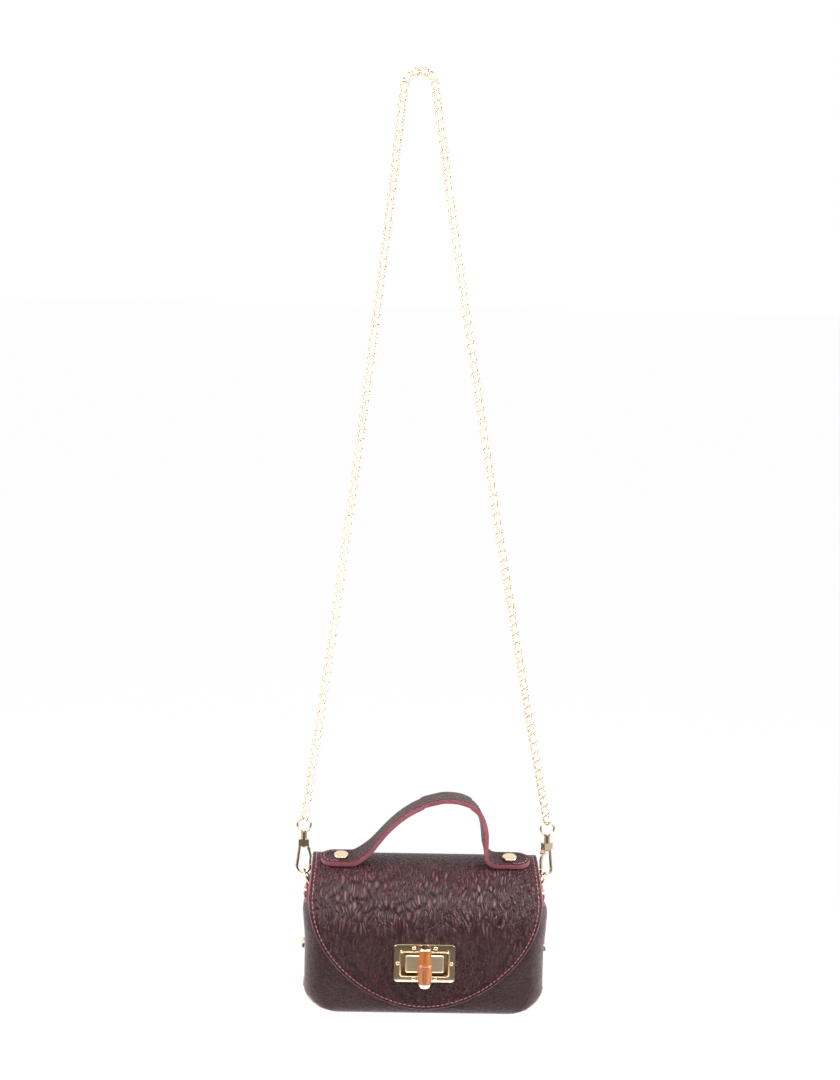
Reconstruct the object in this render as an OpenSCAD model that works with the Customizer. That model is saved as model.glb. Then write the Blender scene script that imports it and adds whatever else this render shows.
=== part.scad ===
// A small leather shoulder bag, hanging from the crown of its chain strap.
// The front flap is shut by a bamboo turn-lock, and a riveted leather handle stands on top.
// The origin is the chain's crown, +Z is up and the front faces -Y.

/* [Chain strap] */
// Distance from one link's contact to the next
link_pitch = 6.78; // [6.2:0.02:7.4]
// Outer width of a link
link_w = 6.2; // [5.6:0.1:7]
// Thickness of the links' wire
link_wire = 1.4; // [1:0.05:1.5]
// Links from the crown to the left hook
left_links = 80; // [40:1:100]
// Links from the crown to the right hook
right_links = 81; // [40:1:100]
// Distance of each snap hook outside the bag's side
hook_out = 2; // [1:0.25:4]
// Inward bow of each hanging strand
strand_bow = 3; // [0:0.5:6]
// Slope of the first left link from the crown, in degrees
crown_left_slope = 22; // [15:1:30]
// Slope of the second left link, in degrees
crown_left_next = 54; // [45:1:60]
// Slope of the first right link from the crown, in degrees
crown_right_slope = 9; // [5:1:20]
// Slope of the second right link, in degrees
crown_right_next = 47; // [42:1:55]

/* [Snap hooks] */
// Outer width of the hook's bow
hook_w = 11.6; // [11:0.1:14]
// Thickness of the hook's bow
hook_wire = 2; // [1.6:0.1:2.4]
// Height from the bow's wire to the top of the bridge
hook_h = 25.2; // [22:0.2:30]
// Width of the bridge
bridge_w = 7.4; // [6:0.1:8]
// Height of the bridge
bridge_h = 4.8; // [4:0.1:6]
// Depth of the bridge
bridge_d = 4.4; // [4:0.1:6]
// Outer width of the round eye
eye_w = 11.1; // [10:0.1:13]
// Thickness of the eye's wire
eye_wire = 1.5; // [1.2:0.1:2]
// Height of the hub under the eye
hub_h = 5.4; // [4:0.1:7]
// Thickness of the swivel post
swivel_d = 2.5; // [2:0.1:2.8]
// Thickness of the gate
gate_t = 1.5; // [1.2:0.1:1.8]
// Thickness of the gate's hinge pin
gate_pin_d = 0.9; // [0.7:0.05:1]
// Turn of the right hook about its swivel, in degrees
right_yaw = 35; // [0:1:40]

/* [D-rings] */
// Thickness of the ring's wire
ring_wire = 1.5; // [1.2:0.1:1.8]
// Inner width of the ring
ring_in_w = 12.1; // [11:0.1:14]
// Length from the ring's bar to its crown
ring_l = 9.2; // [8.8:0.1:11]
// Width of the leather tab in the ring
tab_w = 11.4; // [10:0.1:11.5]
// Thickness of the tab
tab_t = 1.4; // [1:0.1:1.8]

/* [Bag body] */
// Width over the sides
body_w = 172; // [166:1:173]
// Height over the top
body_h = 106; // [100:1:115]
// Depth from the hooks' line to the front panel
front_depth = 36.8; // [32:0.2:42]
// Depth from the hooks' line to the back
back_depth = 36; // [32:0.2:40]
// Height at which the front starts to curve in
wall_h = 57; // [54:1:61]
// Radius of the rounded base edges
base_r = 6; // [4:0.5:8]
// Radius of the lower side corners
corner_r = 18; // [12:1:22]
// Radius of the upright corners
upright_r = 12; // [8:0.5:14]
// Height of the front panel and of the side wings
wing_h = 79; // [74:0.5:80]
// How far each wing stands out at its top
wing_flare = 2; // [0:0.2:3]
// Distance of the top strip's ends, and of the flap's root, from the sides
top_in = 5; // [4.5:0.5:9]

/* [Leather] */
// Thickness of the outer leather
leather_t = 1.8; // [1.4:0.1:2]
// Thickness of the flap's lining
lining_t = 1.2; // [0.8:0.1:1.4]
// Thickness of the side gussets
gusset_t = 1.6; // [1.2:0.1:1.8]
// Thickness of the stiff board in the base
board_t = 1.5; // [1:0.1:2.5]

/* [Flap] */
// Distance of the flap's widest place from the sides
flap_in = 3; // [2:0.5:6]
// Height of the flap's lowest point over the base
flap_low = 6; // [4:0.5:12]
// Height at which the flap's curved edge starts
flap_side_h = 84; // [80:0.5:86]
// Distance of the fold in front of the hooks' line
fold_y = 20; // [18:0.5:22]

/* [Handle] */
// Distance of the handle's tabs from the ends of the top strip
handle_in = 5.7; // [3.5:0.1:9]
// Rise of the handle's middle over its tabs
handle_rise = 43.8; // [36:0.2:55]
// Width of the handle strap
handle_w = 19; // [14:0.5:20]
// Thickness of the handle strap
handle_t = 3.4; // [2.6:0.1:4]
// Length from a rivet to the round end of its tab
handle_tip = 14.5; // [11:0.5:16]
// Distance of the handle in front of the hooks' line
handle_y = 4; // [2:0.5:6]

/* [Rivets] */
// Width of a rivet's cap
cap_d = 10.5; // [8:0.1:11]
// Height of a rivet's cap
cap_h = 1.9; // [1.2:0.1:2.4]
// Thickness of a rivet's post
post_d = 3; // [2.4:0.1:3.4]
// Width of a rivet's back washer
back_d = 9; // [8:0.1:10]
// Height of the upper side rivets over the base
upper_rivet_h = 78.5; // [76:0.5:80]
// Height of the lower side rivets over the base
lower_rivet_h = 44; // [36:0.5:48]
// Distance of the lower side rivets in front of the hooks' line
lower_rivet_y = 14; // [13:0.5:20]

/* [Turn-lock] */
// Distance of the frame plate below the shoulder
lock_drop = 2.5; // [1:0.25:5]
// Width of the frame plate
frame_w = 44; // [42:0.5:48]
// Height of the frame plate
frame_h = 28; // [27:0.5:31]
// Thickness of the frame plate
frame_t = 1.4; // [1:0.1:1.6]
// Width of the slot
slot_w = 32.4; // [31:0.2:34]
// Height of the slot
slot_h = 16.8; // [15.5:0.1:17]
// Wall of the slot's raised lip
lip_t = 0.8; // [0.6:0.1:1]
// Height of the raised lip over the flap
lip_h = 3.5; // [3:0.1:4]
// Width of the block behind the slot
block_w = 28; // [26:0.5:30]
// Height of the block behind the slot
block_h = 13; // [12:0.2:14]
// Length of the turning toggle over its cups
toggle_l = 29; // [26:0.5:30]
// Width of the toggle's cups
cup_d = 10.2; // [9.4:0.1:11]
// Length of bamboo between the cups
bamboo_l = 22.5; // [20:0.5:23]
// Distance from the flap to the toggle's middle
toggle_out = 11; // [10.8:0.1:12.5]
// Thickness of the toggle's spindle
spindle_d = 4; // [3:0.1:4.4]

/* [Hidden] */

$fn = 48;

// Gaps: between rigid pieces that move, in running fits, and between layers that lie on each other
gap = 0.3;
fit = 0.05;
lay = 0.02;
// Overrun of a cut past the face that it cuts
over = 1;

// Widths that follow from the bag's width
hook_span = body_w + 2 * hook_out;
top_w = body_w - 2 * top_in;
flap_w = body_w - 2 * flap_in;
handle_span = top_w - 2 * (handle_in + handle_tip);

// The chain: half length of a link's centre line, the middle radius of its ends, and its straight half
link_slack = 0.04;
link_half = (link_pitch + link_wire + link_slack) / 2;
link_r = (link_w - link_wire) / 2;
link_straight = link_half - link_r;
// The two links on each side of the crown bend round it, so their joints lie a little closer
crown_links = 2;
crown_slack = 0.32;
crown_pitch = link_pitch - crown_slack;
function crown_step(side, slope) = crown_pitch * [side * cos(slope), -sin(slope)];
left_crown = crown_step(-1, crown_left_slope) + crown_step(-1, crown_left_next);
right_crown = crown_step(1, crown_right_slope) + crown_step(1, crown_right_next);
left_strand = (left_links - crown_links) * link_pitch;
right_strand = (right_links - crown_links) * link_pitch;
// The left eye lies one strand from the left crown joint, and the right eye one strand from the other
across = right_crown - [hook_span, 0] - left_crown;
across_l = norm(across);
along_share = (across_l * across_l + left_strand * left_strand - right_strand * right_strand) / (2 * across_l);
down = sqrt(left_strand * left_strand - along_share * along_share);
way = across / across_l;
left_eye = left_crown + along_share * way + down * [-way[1], way[0]];
right_eye = left_eye + [hook_span, 0];

// The hook, measured from the wire's middle at the foot of its bow
bow_r = (hook_w - hook_wire) / 2;
eye_r = (eye_w - eye_wire) / 2;
eye_z = hook_h + gap / 2 + hub_h + eye_r;
bridge_z = hook_h - bridge_h;
leg_x = (bridge_w - hook_wire) / 2;
nose_z = bow_r + hook_wire / 2;
post_head_d = 3.4;
eye_slack = 0.35;
post_head_h = 1;
gate_hub_d = 2.3;
gate_w = 1.6;
gate_bulge = 0.3;
ear_t = 0.9;
ear_w = 2.2;
hinge_x = bridge_w / 2 + fit;
hinge_z = bridge_z - gate_hub_d;
hook_z = left_eye[1] + (eye_wire + link_slack) / 2 + eye_slack - eye_z - eye_r;

// The bag's own frame has its origin at the middle of the base, under the hooks
bag_x = (left_eye[0] + right_eye[0]) / 2;
flap_t = leather_t + lining_t;
flap_gap = 1.2;
flap_room = flap_t + flap_gap;
front_y = front_depth + flap_room;
shoulder_r = body_h - wall_h;
shoulder_y = shoulder_r - front_y;
shoulder_z = wall_h;
lock_h = wall_h - lock_drop - frame_h / 2;
back_r = back_depth - shoulder_y;
back_z = body_h - back_r;
// The back circle is kept whole where it lies inside the front one
back_reach = back_r < shoulder_r ? back_r : 0;
flare_z = 50;
seam_front = front_depth - base_r;
seam_back = back_depth - base_r;
gusset_x = body_w / 2 - leather_t - lay - gusset_t / 2;
gusset_rim = 2.45;
gusset_h = upper_rivet_h + cap_d / 2 + gusset_rim;
gusset_in = 6;
board_gap = 4;
fold_z = shoulder_z + sqrt(shoulder_r * shoulder_r - (fold_y + shoulder_y) * (fold_y + shoulder_y));
edge_power = 1.85;
edge_steps = 24;
base_pin_d = 2;
base_pin_x = 9.6;
plate_t = 0.8;
lock_plate_t = 0.6;
plate_r = 3;
slot_r = 1.5;
pin_d = 1.8;
pin_x = (frame_w + slot_w) / 4;
pin_near_x = 7.7;
pin_z = (frame_h + slot_h) / 4;
pin_head = 0.5;

// The D-ring leans out from its tab to the hook
ring_r = (ring_in_w + ring_wire) / 2;
ring_slack = 0.5;
ring_rise = 0.85;
bar_fit = 0.08;
ring_run = hook_span / 2 - gusset_x;
ring_lean = asin(ring_run / ring_l);
ring_bar_z = gusset_h + ring_wire / 2 + ring_rise;
carry_h = ring_bar_z + ring_l * cos(ring_lean) - ring_slack - (hook_wire + ring_wire) / 2;
bag_z = hook_z - carry_h;
loop_r = ring_wire / 2 + bar_fit;
wing_y = ring_r + ring_wire / 2 + gap;

// Tilt and height of the top surface, at a distance in front of the hooks' line
function top_r(y) = shoulder_y + y > 0 ? shoulder_r : back_r;
function top_tilt(y) = asin((shoulder_y + y) / top_r(y));
function top_z(y) = body_h - top_r(y) * (1 - cos(top_tilt(y)));

// A joint of the chain, counted from the crown; side is -1 or 1
function strand_end(side) = side < 0 ? left_eye : right_eye;
function strand_start(side) = side < 0 ? left_crown : right_crown;
function strand_links(side) = (side < 0 ? left_links : right_links) - crown_links;
function chain_joint(side, k) = k == 0 ? [0, 0] :
    k == 1 ? crown_step(side, side < 0 ? crown_left_slope : crown_right_slope) :
    let (
        share = (k - crown_links) / strand_links(side),
        run = strand_end(side) - strand_start(side),
        inward = [side * run[1], -side * run[0]] / norm(run)
    )
    strand_start(side) + share * run + 4 * strand_bow * share * (1 - share) * inward;

// Catmull-Rom point between p[i] and p[i + 1]
function along(p, i, t) =
    let (
        a = p[max(i - 1, 0)],
        b = p[i],
        c = p[i + 1],
        d = p[min(i + 2, len(p) - 1)]
    )
    0.5 * (2 * b + (c - a) * t + (2 * a - 5 * b + 4 * c - d) * t * t + (3 * b - a - 3 * c + d) * t * t * t);

function smooth(t) = let (u = min(max(t, 0), 1)) u * u * (3 - 2 * u);

// Extrusions whose drawing lies in the YZ plane or in the XZ plane
module along_x(length) {
    rotate([90, 0, 90])
        linear_extrude(length, center = true)
            children();
}

module along_y(length) {
    rotate([90, 0, 0])
        linear_extrude(length, center = true)
            children();
}

// A round rod from one point to another
module rod(from, to, d) {
    run = to - from;
    translate(from)
        rotate([0, acos(run[2] / norm(run)), atan2(run[1], run[0])])
            cylinder(d = d, h = norm(run));
}

module rounded(w, h, r) {
    square([w - 2 * r, h], center = true);
    square([w, h - 2 * r], center = true);
    for (x = [-1, 1], y = [-1, 1])
        translate([x * (w / 2 - r), y * (h / 2 - r)])
            circle(r = r);
}

module in_bag() {
    translate([bag_x, 0, bag_z])
        children();
}

module in_hook(side) {
    translate([bag_x + side * hook_span / 2, 0, hook_z])
        rotate([0, 0, side > 0 ? 180 + right_yaw : 0])
            children();
}

// The lock's own frame: origin on the flap's face, +Z out of the flap, +Y up
module in_toggle() {
    in_bag()
        translate([0, -front_y, lock_h])
            rotate([90, 0, 0])
                children();
}

// A rivet along +Z, seated at z = 0, with its post below
module rivet(grip) {
    bevel = cap_h / 3;
    cylinder(d = cap_d, h = cap_h - bevel);
    translate([0, 0, cap_h - bevel])
        cylinder(d1 = cap_d, d2 = cap_d - 2 * bevel, h = bevel);
    translate([0, 0, -grip])
        cylinder(d = post_d, h = grip + cap_h / 2);
}

module rivet_back() {
    difference() {
        cylinder(d = back_d, h = plate_t);
        translate([0, 0, -over])
            cylinder(d = post_d + 2 * fit, h = plate_t + 2 * over);
    }
}

module rivet_hole() {
    translate([0, 0, -body_h / 4])
        cylinder(d = post_d + gap, h = body_h / 2);
}

// The places of the rivets, each with +Z pointing out of the leather
module at_handle_rivet(side) {
    translate([side * handle_span / 2, -handle_y, top_z(handle_y)])
        rotate([top_tilt(handle_y), 0, 0])
            children();
}

module at_upper_rivet(side) {
    translate([side * (gusset_x + loop_r + tab_t + lay), 0, upper_rivet_h])
        rotate([0, side * 90, 0])
            children();
}

module at_lower_rivet(side) {
    translate([side * (body_w / 2 + lay), -lower_rivet_y, lower_rivet_h])
        rotate([0, side * 90, 0])
            children();
}

// Chain
module link() {
    for (end = [0, 180])
        rotate([0, end, 0])
            translate([0, 0, link_straight])
                rotate([90, 0, 0])
                    rotate_extrude(angle = 180, $fn = 32)
                        translate([link_r, 0])
                            circle(d = link_wire, $fn = 16);
    for (x = [-1, 1])
        translate([x * link_r, 0, -link_straight])
            cylinder(d = link_wire, h = 2 * link_straight, $fn = 16);
}

module strand(side) {
    links = strand_links(side) + crown_links;
    for (k = [0 : links - 1]) {
        from = chain_joint(side, k);
        run = chain_joint(side, k + 1) - from;
        turn = k % 2 == 0 ? 45 : -45;
        translate([from[0] + run[0] / 2, 0, from[1] + run[1] / 2])
            rotate([0, atan2(run[0], run[1]), 0])
                rotate([0, 0, turn])
                    link();
    }
}

module chain_left() {
    color("goldenrod")
        strand(-1);
}

module chain_right() {
    color("goldenrod")
        strand(1);
}

// Snap hooks
module hook_eye(side) {
    color("goldenrod")
        in_hook(side) {
            translate([0, 0, eye_z])
                rotate([90, 0, side > 0 ? -right_yaw : 0])
                    rotate_extrude()
                        translate([eye_r, 0])
                            circle(d = eye_wire);
            translate([0, 0, hook_h + gap / 2])
                cylinder(d = bridge_d, h = hub_h);
            translate([0, 0, bridge_z - fit - post_head_h / 2])
                cylinder(d = swivel_d, h = bridge_h + hub_h / 2);
            translate([0, 0, bridge_z - fit - post_head_h])
                cylinder(d = post_head_d, h = post_head_h);
        }
}

module hook_body(side) {
    color("goldenrod")
        in_hook(side)
            difference() {
                union() {
                    translate([0, 0, bow_r])
                        rotate([-90, 0, 0])
                            rotate_extrude(angle = 180)
                                translate([bow_r, 0])
                                    circle(d = hook_wire);
                    rod([-bow_r, 0, bow_r], [-leg_x, 0, bridge_z + hook_wire / 2], hook_wire);
                    rod([bow_r, 0, bow_r], [bow_r, 0, nose_z], hook_wire);
                    translate([-bridge_w / 2, -bridge_d / 2, bridge_z])
                        cube([bridge_w, bridge_d, bridge_h]);
                    for (y = [-1, 1])
                        translate([0, y * (gate_w / 2 + gap + ear_t / 2), 0])
                            gate_ear();
                }
                translate([0, 0, bridge_z - over])
                    cylinder(d = swivel_d + 2 * fit, h = bridge_h + 2 * over);
                translate([hinge_x, 0, hinge_z])
                    rotate([90, 0, 0])
                        cylinder(d = gate_pin_d + 2 * lay, h = bridge_w, center = true);
            }
}

module gate_ear() {
    translate([hinge_x - ear_w / 2, -ear_t / 2, hinge_z])
        cube([ear_w / 2 + bridge_w / 2 - hinge_x + fit, ear_t, gate_hub_d + bridge_h / 2]);
    translate([hinge_x, 0, hinge_z])
        rotate([90, 0, 0])
            cylinder(d = ear_w, h = ear_t, center = true);
}

// One leg of the gate's outline, with a round end
module gate_leg(from, to) {
    run = to - from;
    translate(from)
        rotate(-atan2(run[0], run[1]))
            translate([-gate_t / 2, 0])
                square([gate_t, norm(run)]);
    translate(to)
        circle(d = gate_t);
}

module gate(side) {
    tip = [bow_r, nose_z + gap + gate_t / 2];
    knee = [bow_r + gate_bulge, (tip[1] + hinge_z) / 2];
    color("gold")
        in_hook(side)
            along_y(gate_w)
                difference() {
                    union() {
                        gate_leg([hinge_x, hinge_z], knee);
                        gate_leg(knee, tip);
                        translate([hinge_x, hinge_z])
                            circle(d = gate_hub_d);
                    }
                    translate([hinge_x, hinge_z])
                        circle(d = gate_pin_d + 2 * fit);
                }
}

module gate_pin(side) {
    length = gate_w + 2 * (gap + ear_t);
    color("darkgoldenrod")
        in_hook(side)
            translate([hinge_x, 0, hinge_z])
                rotate([90, 0, 0])
                    cylinder(d = gate_pin_d, h = length, center = true);
}

// The small coil that closes the gate, as the sleeve that it fills beside the gate's hub
module gate_spring(side) {
    color("silver")
        in_hook(side)
            translate([hinge_x, gate_w / 2 + gap / 2, hinge_z])
                rotate([90, 0, 0])
                    difference() {
                        cylinder(d = gate_hub_d - gap, h = gap / 2, center = true);
                        cylinder(d = gate_pin_d + 2 * fit, h = gap, center = true);
                    }
}

module left_hook_eye() { hook_eye(-1); }
module right_hook_eye() { hook_eye(1); }
module left_hook_body() { hook_body(-1); }
module right_hook_body() { hook_body(1); }
module left_gate() { gate(-1); }
module right_gate() { gate(1); }
module left_gate_pin() { gate_pin(-1); }
module right_gate_pin() { gate_pin(1); }
module left_gate_spring() { gate_spring(-1); }
module right_gate_spring() { gate_spring(1); }

// D-rings and their tabs
module d_ring(side) {
    legs = ring_l - ring_r;
    color("goldenrod")
        in_bag()
            translate([side * gusset_x, 0, ring_bar_z])
                rotate([0, side * ring_lean, 0]) {
                    rod([0, -ring_r, 0], [0, ring_r, 0], ring_wire);
                    for (y = [-ring_r, ring_r]) {
                        translate([0, y, 0])
                            cylinder(d = ring_wire, h = legs);
                        translate([0, y, 0])
                            sphere(d = ring_wire);
                    }
                    translate([0, 0, legs])
                        rotate([90, 0, 90])
                            rotate_extrude(angle = 180)
                                translate([ring_r, 0])
                                    circle(d = ring_wire);
                }
}

module ring_tab(side) {
    foot = upper_rivet_h - cap_d / 2 - tab_t;
    outer = loop_r + tab_t;
    color("#5a343a")
        in_bag()
            difference() {
                translate([side * gusset_x, 0, 0])
                    along_y(tab_w)
                        difference() {
                            union() {
                                translate([0, ring_bar_z])
                                    circle(r = outer);
                                translate([-outer, foot])
                                    square([2 * outer, ring_bar_z - foot]);
                            }
                            translate([0, ring_bar_z])
                                circle(r = loop_r);
                            translate([-loop_r, foot - over])
                                square([2 * loop_r, ring_bar_z - foot + over]);
                        }
                at_upper_rivet(side)
                    rivet_hole();
            }
}

module left_d_ring() { d_ring(-1); }
module right_d_ring() { d_ring(1); }
module left_ring_tab() { ring_tab(-1); }
module right_ring_tab() { ring_tab(1); }

// The bag's side profile in the YZ plane: inset by front at the front, by back at the back and top, and by base below
module profile(front, back, base) {
    y0 = -front_y + front;
    y1 = back_depth - back;
    r = base_r - base;
    translate([y0, base_r])
        square([y1 - y0, shoulder_z - base_r]);
    translate([y0 + r, base])
        square([y1 - y0 - 2 * r, shoulder_z - base]);
    for (y = [y0 + r, y1 - r])
        translate([y, base_r])
            circle(r = r);
    intersection() {
        translate([shoulder_y, shoulder_z])
            circle(r = shoulder_r - front, $fn = 120);
        translate([shoulder_y - shoulder_r, shoulder_z - base_r])
            square([shoulder_r, shoulder_r + base_r]);
    }
    intersection() {
        translate([shoulder_y, back_z])
            circle(r = back_r - back, $fn = 96);
        translate([shoulder_y - back_reach, back_z - back_r])
            square([back_reach + back_r, 2 * back_r]);
    }
    translate([shoulder_y - base_r, shoulder_z - base_r])
        square([y1 - shoulder_y + base_r, back_z - shoulder_z + base_r]);
}

// The front outline in the XZ plane, inset all round
module outline(inset) {
    half = body_w / 2 - inset;
    r = corner_r - inset;
    translate([-half, corner_r])
        square([2 * half, body_h]);
    translate([-half + r, inset])
        square([2 * (half - r), corner_r]);
    for (x = [-1, 1])
        translate([x * (half - r), corner_r])
            circle(r = r);
    polygon([
        [-half, flare_z], [half, flare_z],
        [half + wing_flare, wing_h], [half + wing_flare, wing_h + base_r],
        [-half - wing_flare, wing_h + base_r], [-half - wing_flare, wing_h]
    ]);
}

// The plan in the XY plane, inset all round
module plan(inset) {
    half = body_w / 2 + wing_flare - inset;
    y0 = -front_depth + inset;
    y1 = back_depth - inset;
    r = upright_r - inset;
    translate([-half + r, y0])
        square([2 * (half - r), y1 - y0]);
    translate([-half, y0 + r])
        square([2 * half, y1 - y0 - 2 * r]);
    for (x = [-1, 1], y = [y0 + r, y1 - r])
        translate([x * (half - r), y])
            circle(r = r);
}

module form(inset) {
    intersection() {
        along_x(body_w + 4 * wing_flare)
            profile(flap_room + inset, inset, inset);
        along_y(3 * body_h)
            outline(inset);
        linear_extrude(wing_h)
            plan(inset);
    }
}

module shell() {
    difference() {
        form(0);
        translate([0, 0, over])
            form(leather_t);
        form(leather_t);
    }
}

// The part of a space between two distances along Y, and between two heights
module slab(y0, y1, z0, z1) {
    translate([-body_w, y0, z0])
        cube([2 * body_w, y1 - y0, z1 - z0]);
}

module front_panel() {
    color("#57343a")
        in_bag()
            difference() {
                intersection() {
                    shell();
                    union() {
                        slab(-2 * front_y, -seam_front, -over, wing_h);
                        slab(-seam_front - over, -wing_y, corner_r, wing_h);
                    }
                }
                for (side = [-1, 1])
                    at_lower_rivet(side)
                        rivet_hole();
                translate([0, -front_depth, magnet_h])
                    rotate([90, 0, 0])
                        rivet_hole();
            }
}

module back_panel() {
    color("#57343a")
        in_bag()
            difference() {
                union() {
                    intersection() {
                        shell();
                        union() {
                            slab(seam_back, 2 * back_depth, -over, wing_h);
                            slab(wing_y, seam_back + over, corner_r, wing_h);
                        }
                    }
                    intersection() {
                        along_x(top_w)
                            difference() {
                                profile(0, 0, 0);
                                profile(leather_t, leather_t, leather_t);
                            }
                        union() {
                            slab(-fold_y + gap, 2 * back_depth, wing_h, body_h + over);
                            slab(shoulder_y, 2 * back_depth, back_z, body_h + over);
                            slab(seam_back, 2 * back_depth, wing_h - leather_t, body_h + over);
                        }
                    }
                }
                for (side = [-1, 1])
                    at_handle_rivet(side)
                        rivet_hole();
            }
}

module base_panel() {
    color("#4b2c31")
        in_bag()
            intersection() {
                shell();
                slab(-seam_front + lay, seam_back - lay, -over, corner_r - lay);
            }
}

module base_board() {
    half = body_w / 2 - corner_r;
    color("saddlebrown")
        in_bag()
            translate([0, (seam_back - seam_front) / 2, leather_t + lay])
                linear_extrude(board_t)
                    rounded(2 * half, seam_front + seam_back - board_gap, base_r);
}

module gusset(side) {
    color("#63393f")
        in_bag()
            difference() {
                translate([side * gusset_x, 0, 0])
                    along_x(gusset_t)
                        intersection() {
                            profile(flap_room + gusset_in, gusset_in, 0);
                            translate([-front_y, corner_r])
                                square([2 * front_y, gusset_h - corner_r]);
                        }
                at_lower_rivet(side)
                    rivet_hole();
                at_upper_rivet(side)
                    rivet_hole();
            }
}

module left_gusset() { gusset(-1); }
module right_gusset() { gusset(1); }

// Side rivets: two hold the ring tabs and two hold the wings to the gussets
upper_grip = tab_t * 2 + loop_r * 2 + plate_t + lay;
lower_grip = leather_t + gusset_t + plate_t + lay;

module side_rivets() {
    color("goldenrod")
        in_bag()
            for (side = [-1, 1]) {
                at_upper_rivet(side)
                    rivet(upper_grip);
                at_lower_rivet(side)
                    rivet(lower_grip);
            }
}

module side_rivet_backs() {
    color("darkgoldenrod")
        in_bag()
            for (side = [-1, 1]) {
                at_upper_rivet(side)
                    translate([0, 0, -upper_grip - 2 * lay])
                        rivet_back();
                at_lower_rivet(side)
                    translate([0, 0, -lower_grip - 2 * lay])
                        rivet_back();
            }
}

// Handle: the middle line as shares of the rivets' distance and of the rise, from left to right
handle_shares = [
    [-0.455, 0], [-0.415, 0.018], [-0.357, 0.12], [-0.312, 0.224], [-0.269, 0.379], [-0.211, 0.548],
    [-0.152, 0.69], [-0.052, 0.879], [0.07, 0.982], [0.137, 1], [0.206, 0.975],
    [0.28, 0.886], [0.327, 0.726], [0.348, 0.516], [0.352, 0.32], [0.355, 0.167],
    [0.378, 0.053], [0.41, 0.006], [0.455, 0]
];
handle_turns = 3;
tab_steps = 7;
arch_tilt = 3;
handle_half = handle_span / 2 + handle_tip;
handle_points = concat(
    [[-handle_span / 2, 0]],
    [for (share = handle_shares) [share[0] * handle_span, share[1] * handle_rise]],
    [[handle_span / 2, 0]]
);
// The round end, from its tip to where the strap has its full width, as [x, half width]
end_steps = [for (k = [1 : tab_steps]) let (a = 90 * k / tab_steps) [1 - cos(a), sin(a)] * handle_w / 2];
// Every station, as [x, rise, half width]
handle_stations = concat(
    [for (e = end_steps) [-handle_half + e[0], 0, e[1]]],
    [for (i = [0 : len(handle_points) - 2], t = [0 : handle_turns - 1])
        let (p = along(handle_points, i, t / handle_turns)) [p[0], max(p[1], 0), handle_w / 2]],
    [[handle_span / 2, 0, handle_w / 2]],
    [for (k = [tab_steps - 1 : -1 : 0]) [handle_half - end_steps[k][0], 0, end_steps[k][1]]]
);

// Four corners of the strap at a station: the strap tilts with the bag's top, and stands level in its arch
function handle_ring(k) =
    let (
        s = handle_stations[k],
        a = handle_stations[max(k - 1, 0)],
        b = handle_stations[min(k + 1, len(handle_stations) - 1)],
        way = [b[0] - a[0], 0, b[1] - a[1]] / norm([b[0] - a[0], b[1] - a[1]]),
        tilt = top_tilt(handle_y) + (arch_tilt - top_tilt(handle_y)) * smooth(2 * s[1] / handle_rise),
        side = [0, cos(tilt), sin(tilt)],
        up = cross(way, side),
        lift = handle_t / 2 + lay,
        middle = [
            s[0],
            -handle_y - lift * sin(top_tilt(handle_y)),
            top_z(handle_y) + lift * cos(top_tilt(handle_y)) + s[1]
        ]
    )
    [for (c = [[-1, -1], [1, -1], [1, 1], [-1, 1]]) middle + c[0] * s[2] * side + c[1] * handle_t / 2 * up];

module handle_strap() {
    count = len(handle_stations);
    points = [for (k = [0 : count - 1], p = handle_ring(k)) p];
    sides = [for (k = [0 : count - 2], c = [0 : 3])
        let (a = 4 * k + c, b = 4 * k + (c + 1) % 4)
        each [[a, b, b + 4], [a, b + 4, a + 4]]];
    ends = [[3, 2, 1, 0], [for (c = [0 : 3]) 4 * (count - 1) + c]];
    color("#6b4348")
        in_bag()
            difference() {
                polyhedron(points, concat(sides, ends));
                for (side = [-1, 1])
                    at_handle_rivet(side)
                        rivet_hole();
            }
}

handle_grip = handle_t + leather_t + plate_t + gap;

module handle_rivets() {
    color("gold")
        in_bag()
            for (side = [-1, 1])
                at_handle_rivet(side)
                    translate([0, 0, handle_t + 2 * lay])
                        rivet(handle_grip);
}

module handle_rivet_backs() {
    color("darkgoldenrod")
        in_bag()
            for (side = [-1, 1])
                at_handle_rivet(side)
                    translate([0, 0, -leather_t - gap - plate_t])
                        rivet_back();
}

// Flap: a bent sheet between two insets of the profile, cut by the curved front edge
function edge_point(t, trim) =
    let (half = flap_w / 2 - trim, drop = flap_side_h - flap_low - trim)
    [half * pow(sin(t), 2 / edge_power), flap_side_h - drop * pow(cos(t), 2 / edge_power)];

module flap_shape(trim) {
    right = [for (k = [0 : edge_steps]) edge_point(90 * k / edge_steps, trim)];
    left = [for (k = [edge_steps : -1 : 1]) [-right[k][0], right[k][1]]];
    root = top_w / 2 - trim;
    polygon(concat(left, right, [[root, body_h + over], [-root, body_h + over]]));
}

module flap_layer(inner, outer, trim) {
    in_bag()
        difference() {
            intersection() {
                along_x(2 * flap_w)
                    difference() {
                        profile(outer, outer, 0);
                        profile(inner, inner, 0);
                    }
                along_y(3 * body_h)
                    flap_shape(trim);
                slab(-2 * front_y, -fold_y - gap, flap_low - over, body_h + over);
            }
            translate([0, -front_y, lock_h])
                along_y(2 * front_depth)
                    rounded(slot_w + 2 * lip_t + gap, slot_h + 2 * lip_t + gap, slot_r);
            for (p = pin_places)
                translate([p[0], -front_y, lock_h + p[1]])
                    rotate([90, 0, 0])
                        cylinder(d = pin_d + gap, h = front_depth, center = true);
        }
}

pin_places = [
    [-pin_x, 0], [pin_x, 0],
    [-pin_near_x, pin_z], [pin_near_x, pin_z],
    [-pin_near_x, -pin_z], [pin_near_x, -pin_z]
];

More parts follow.
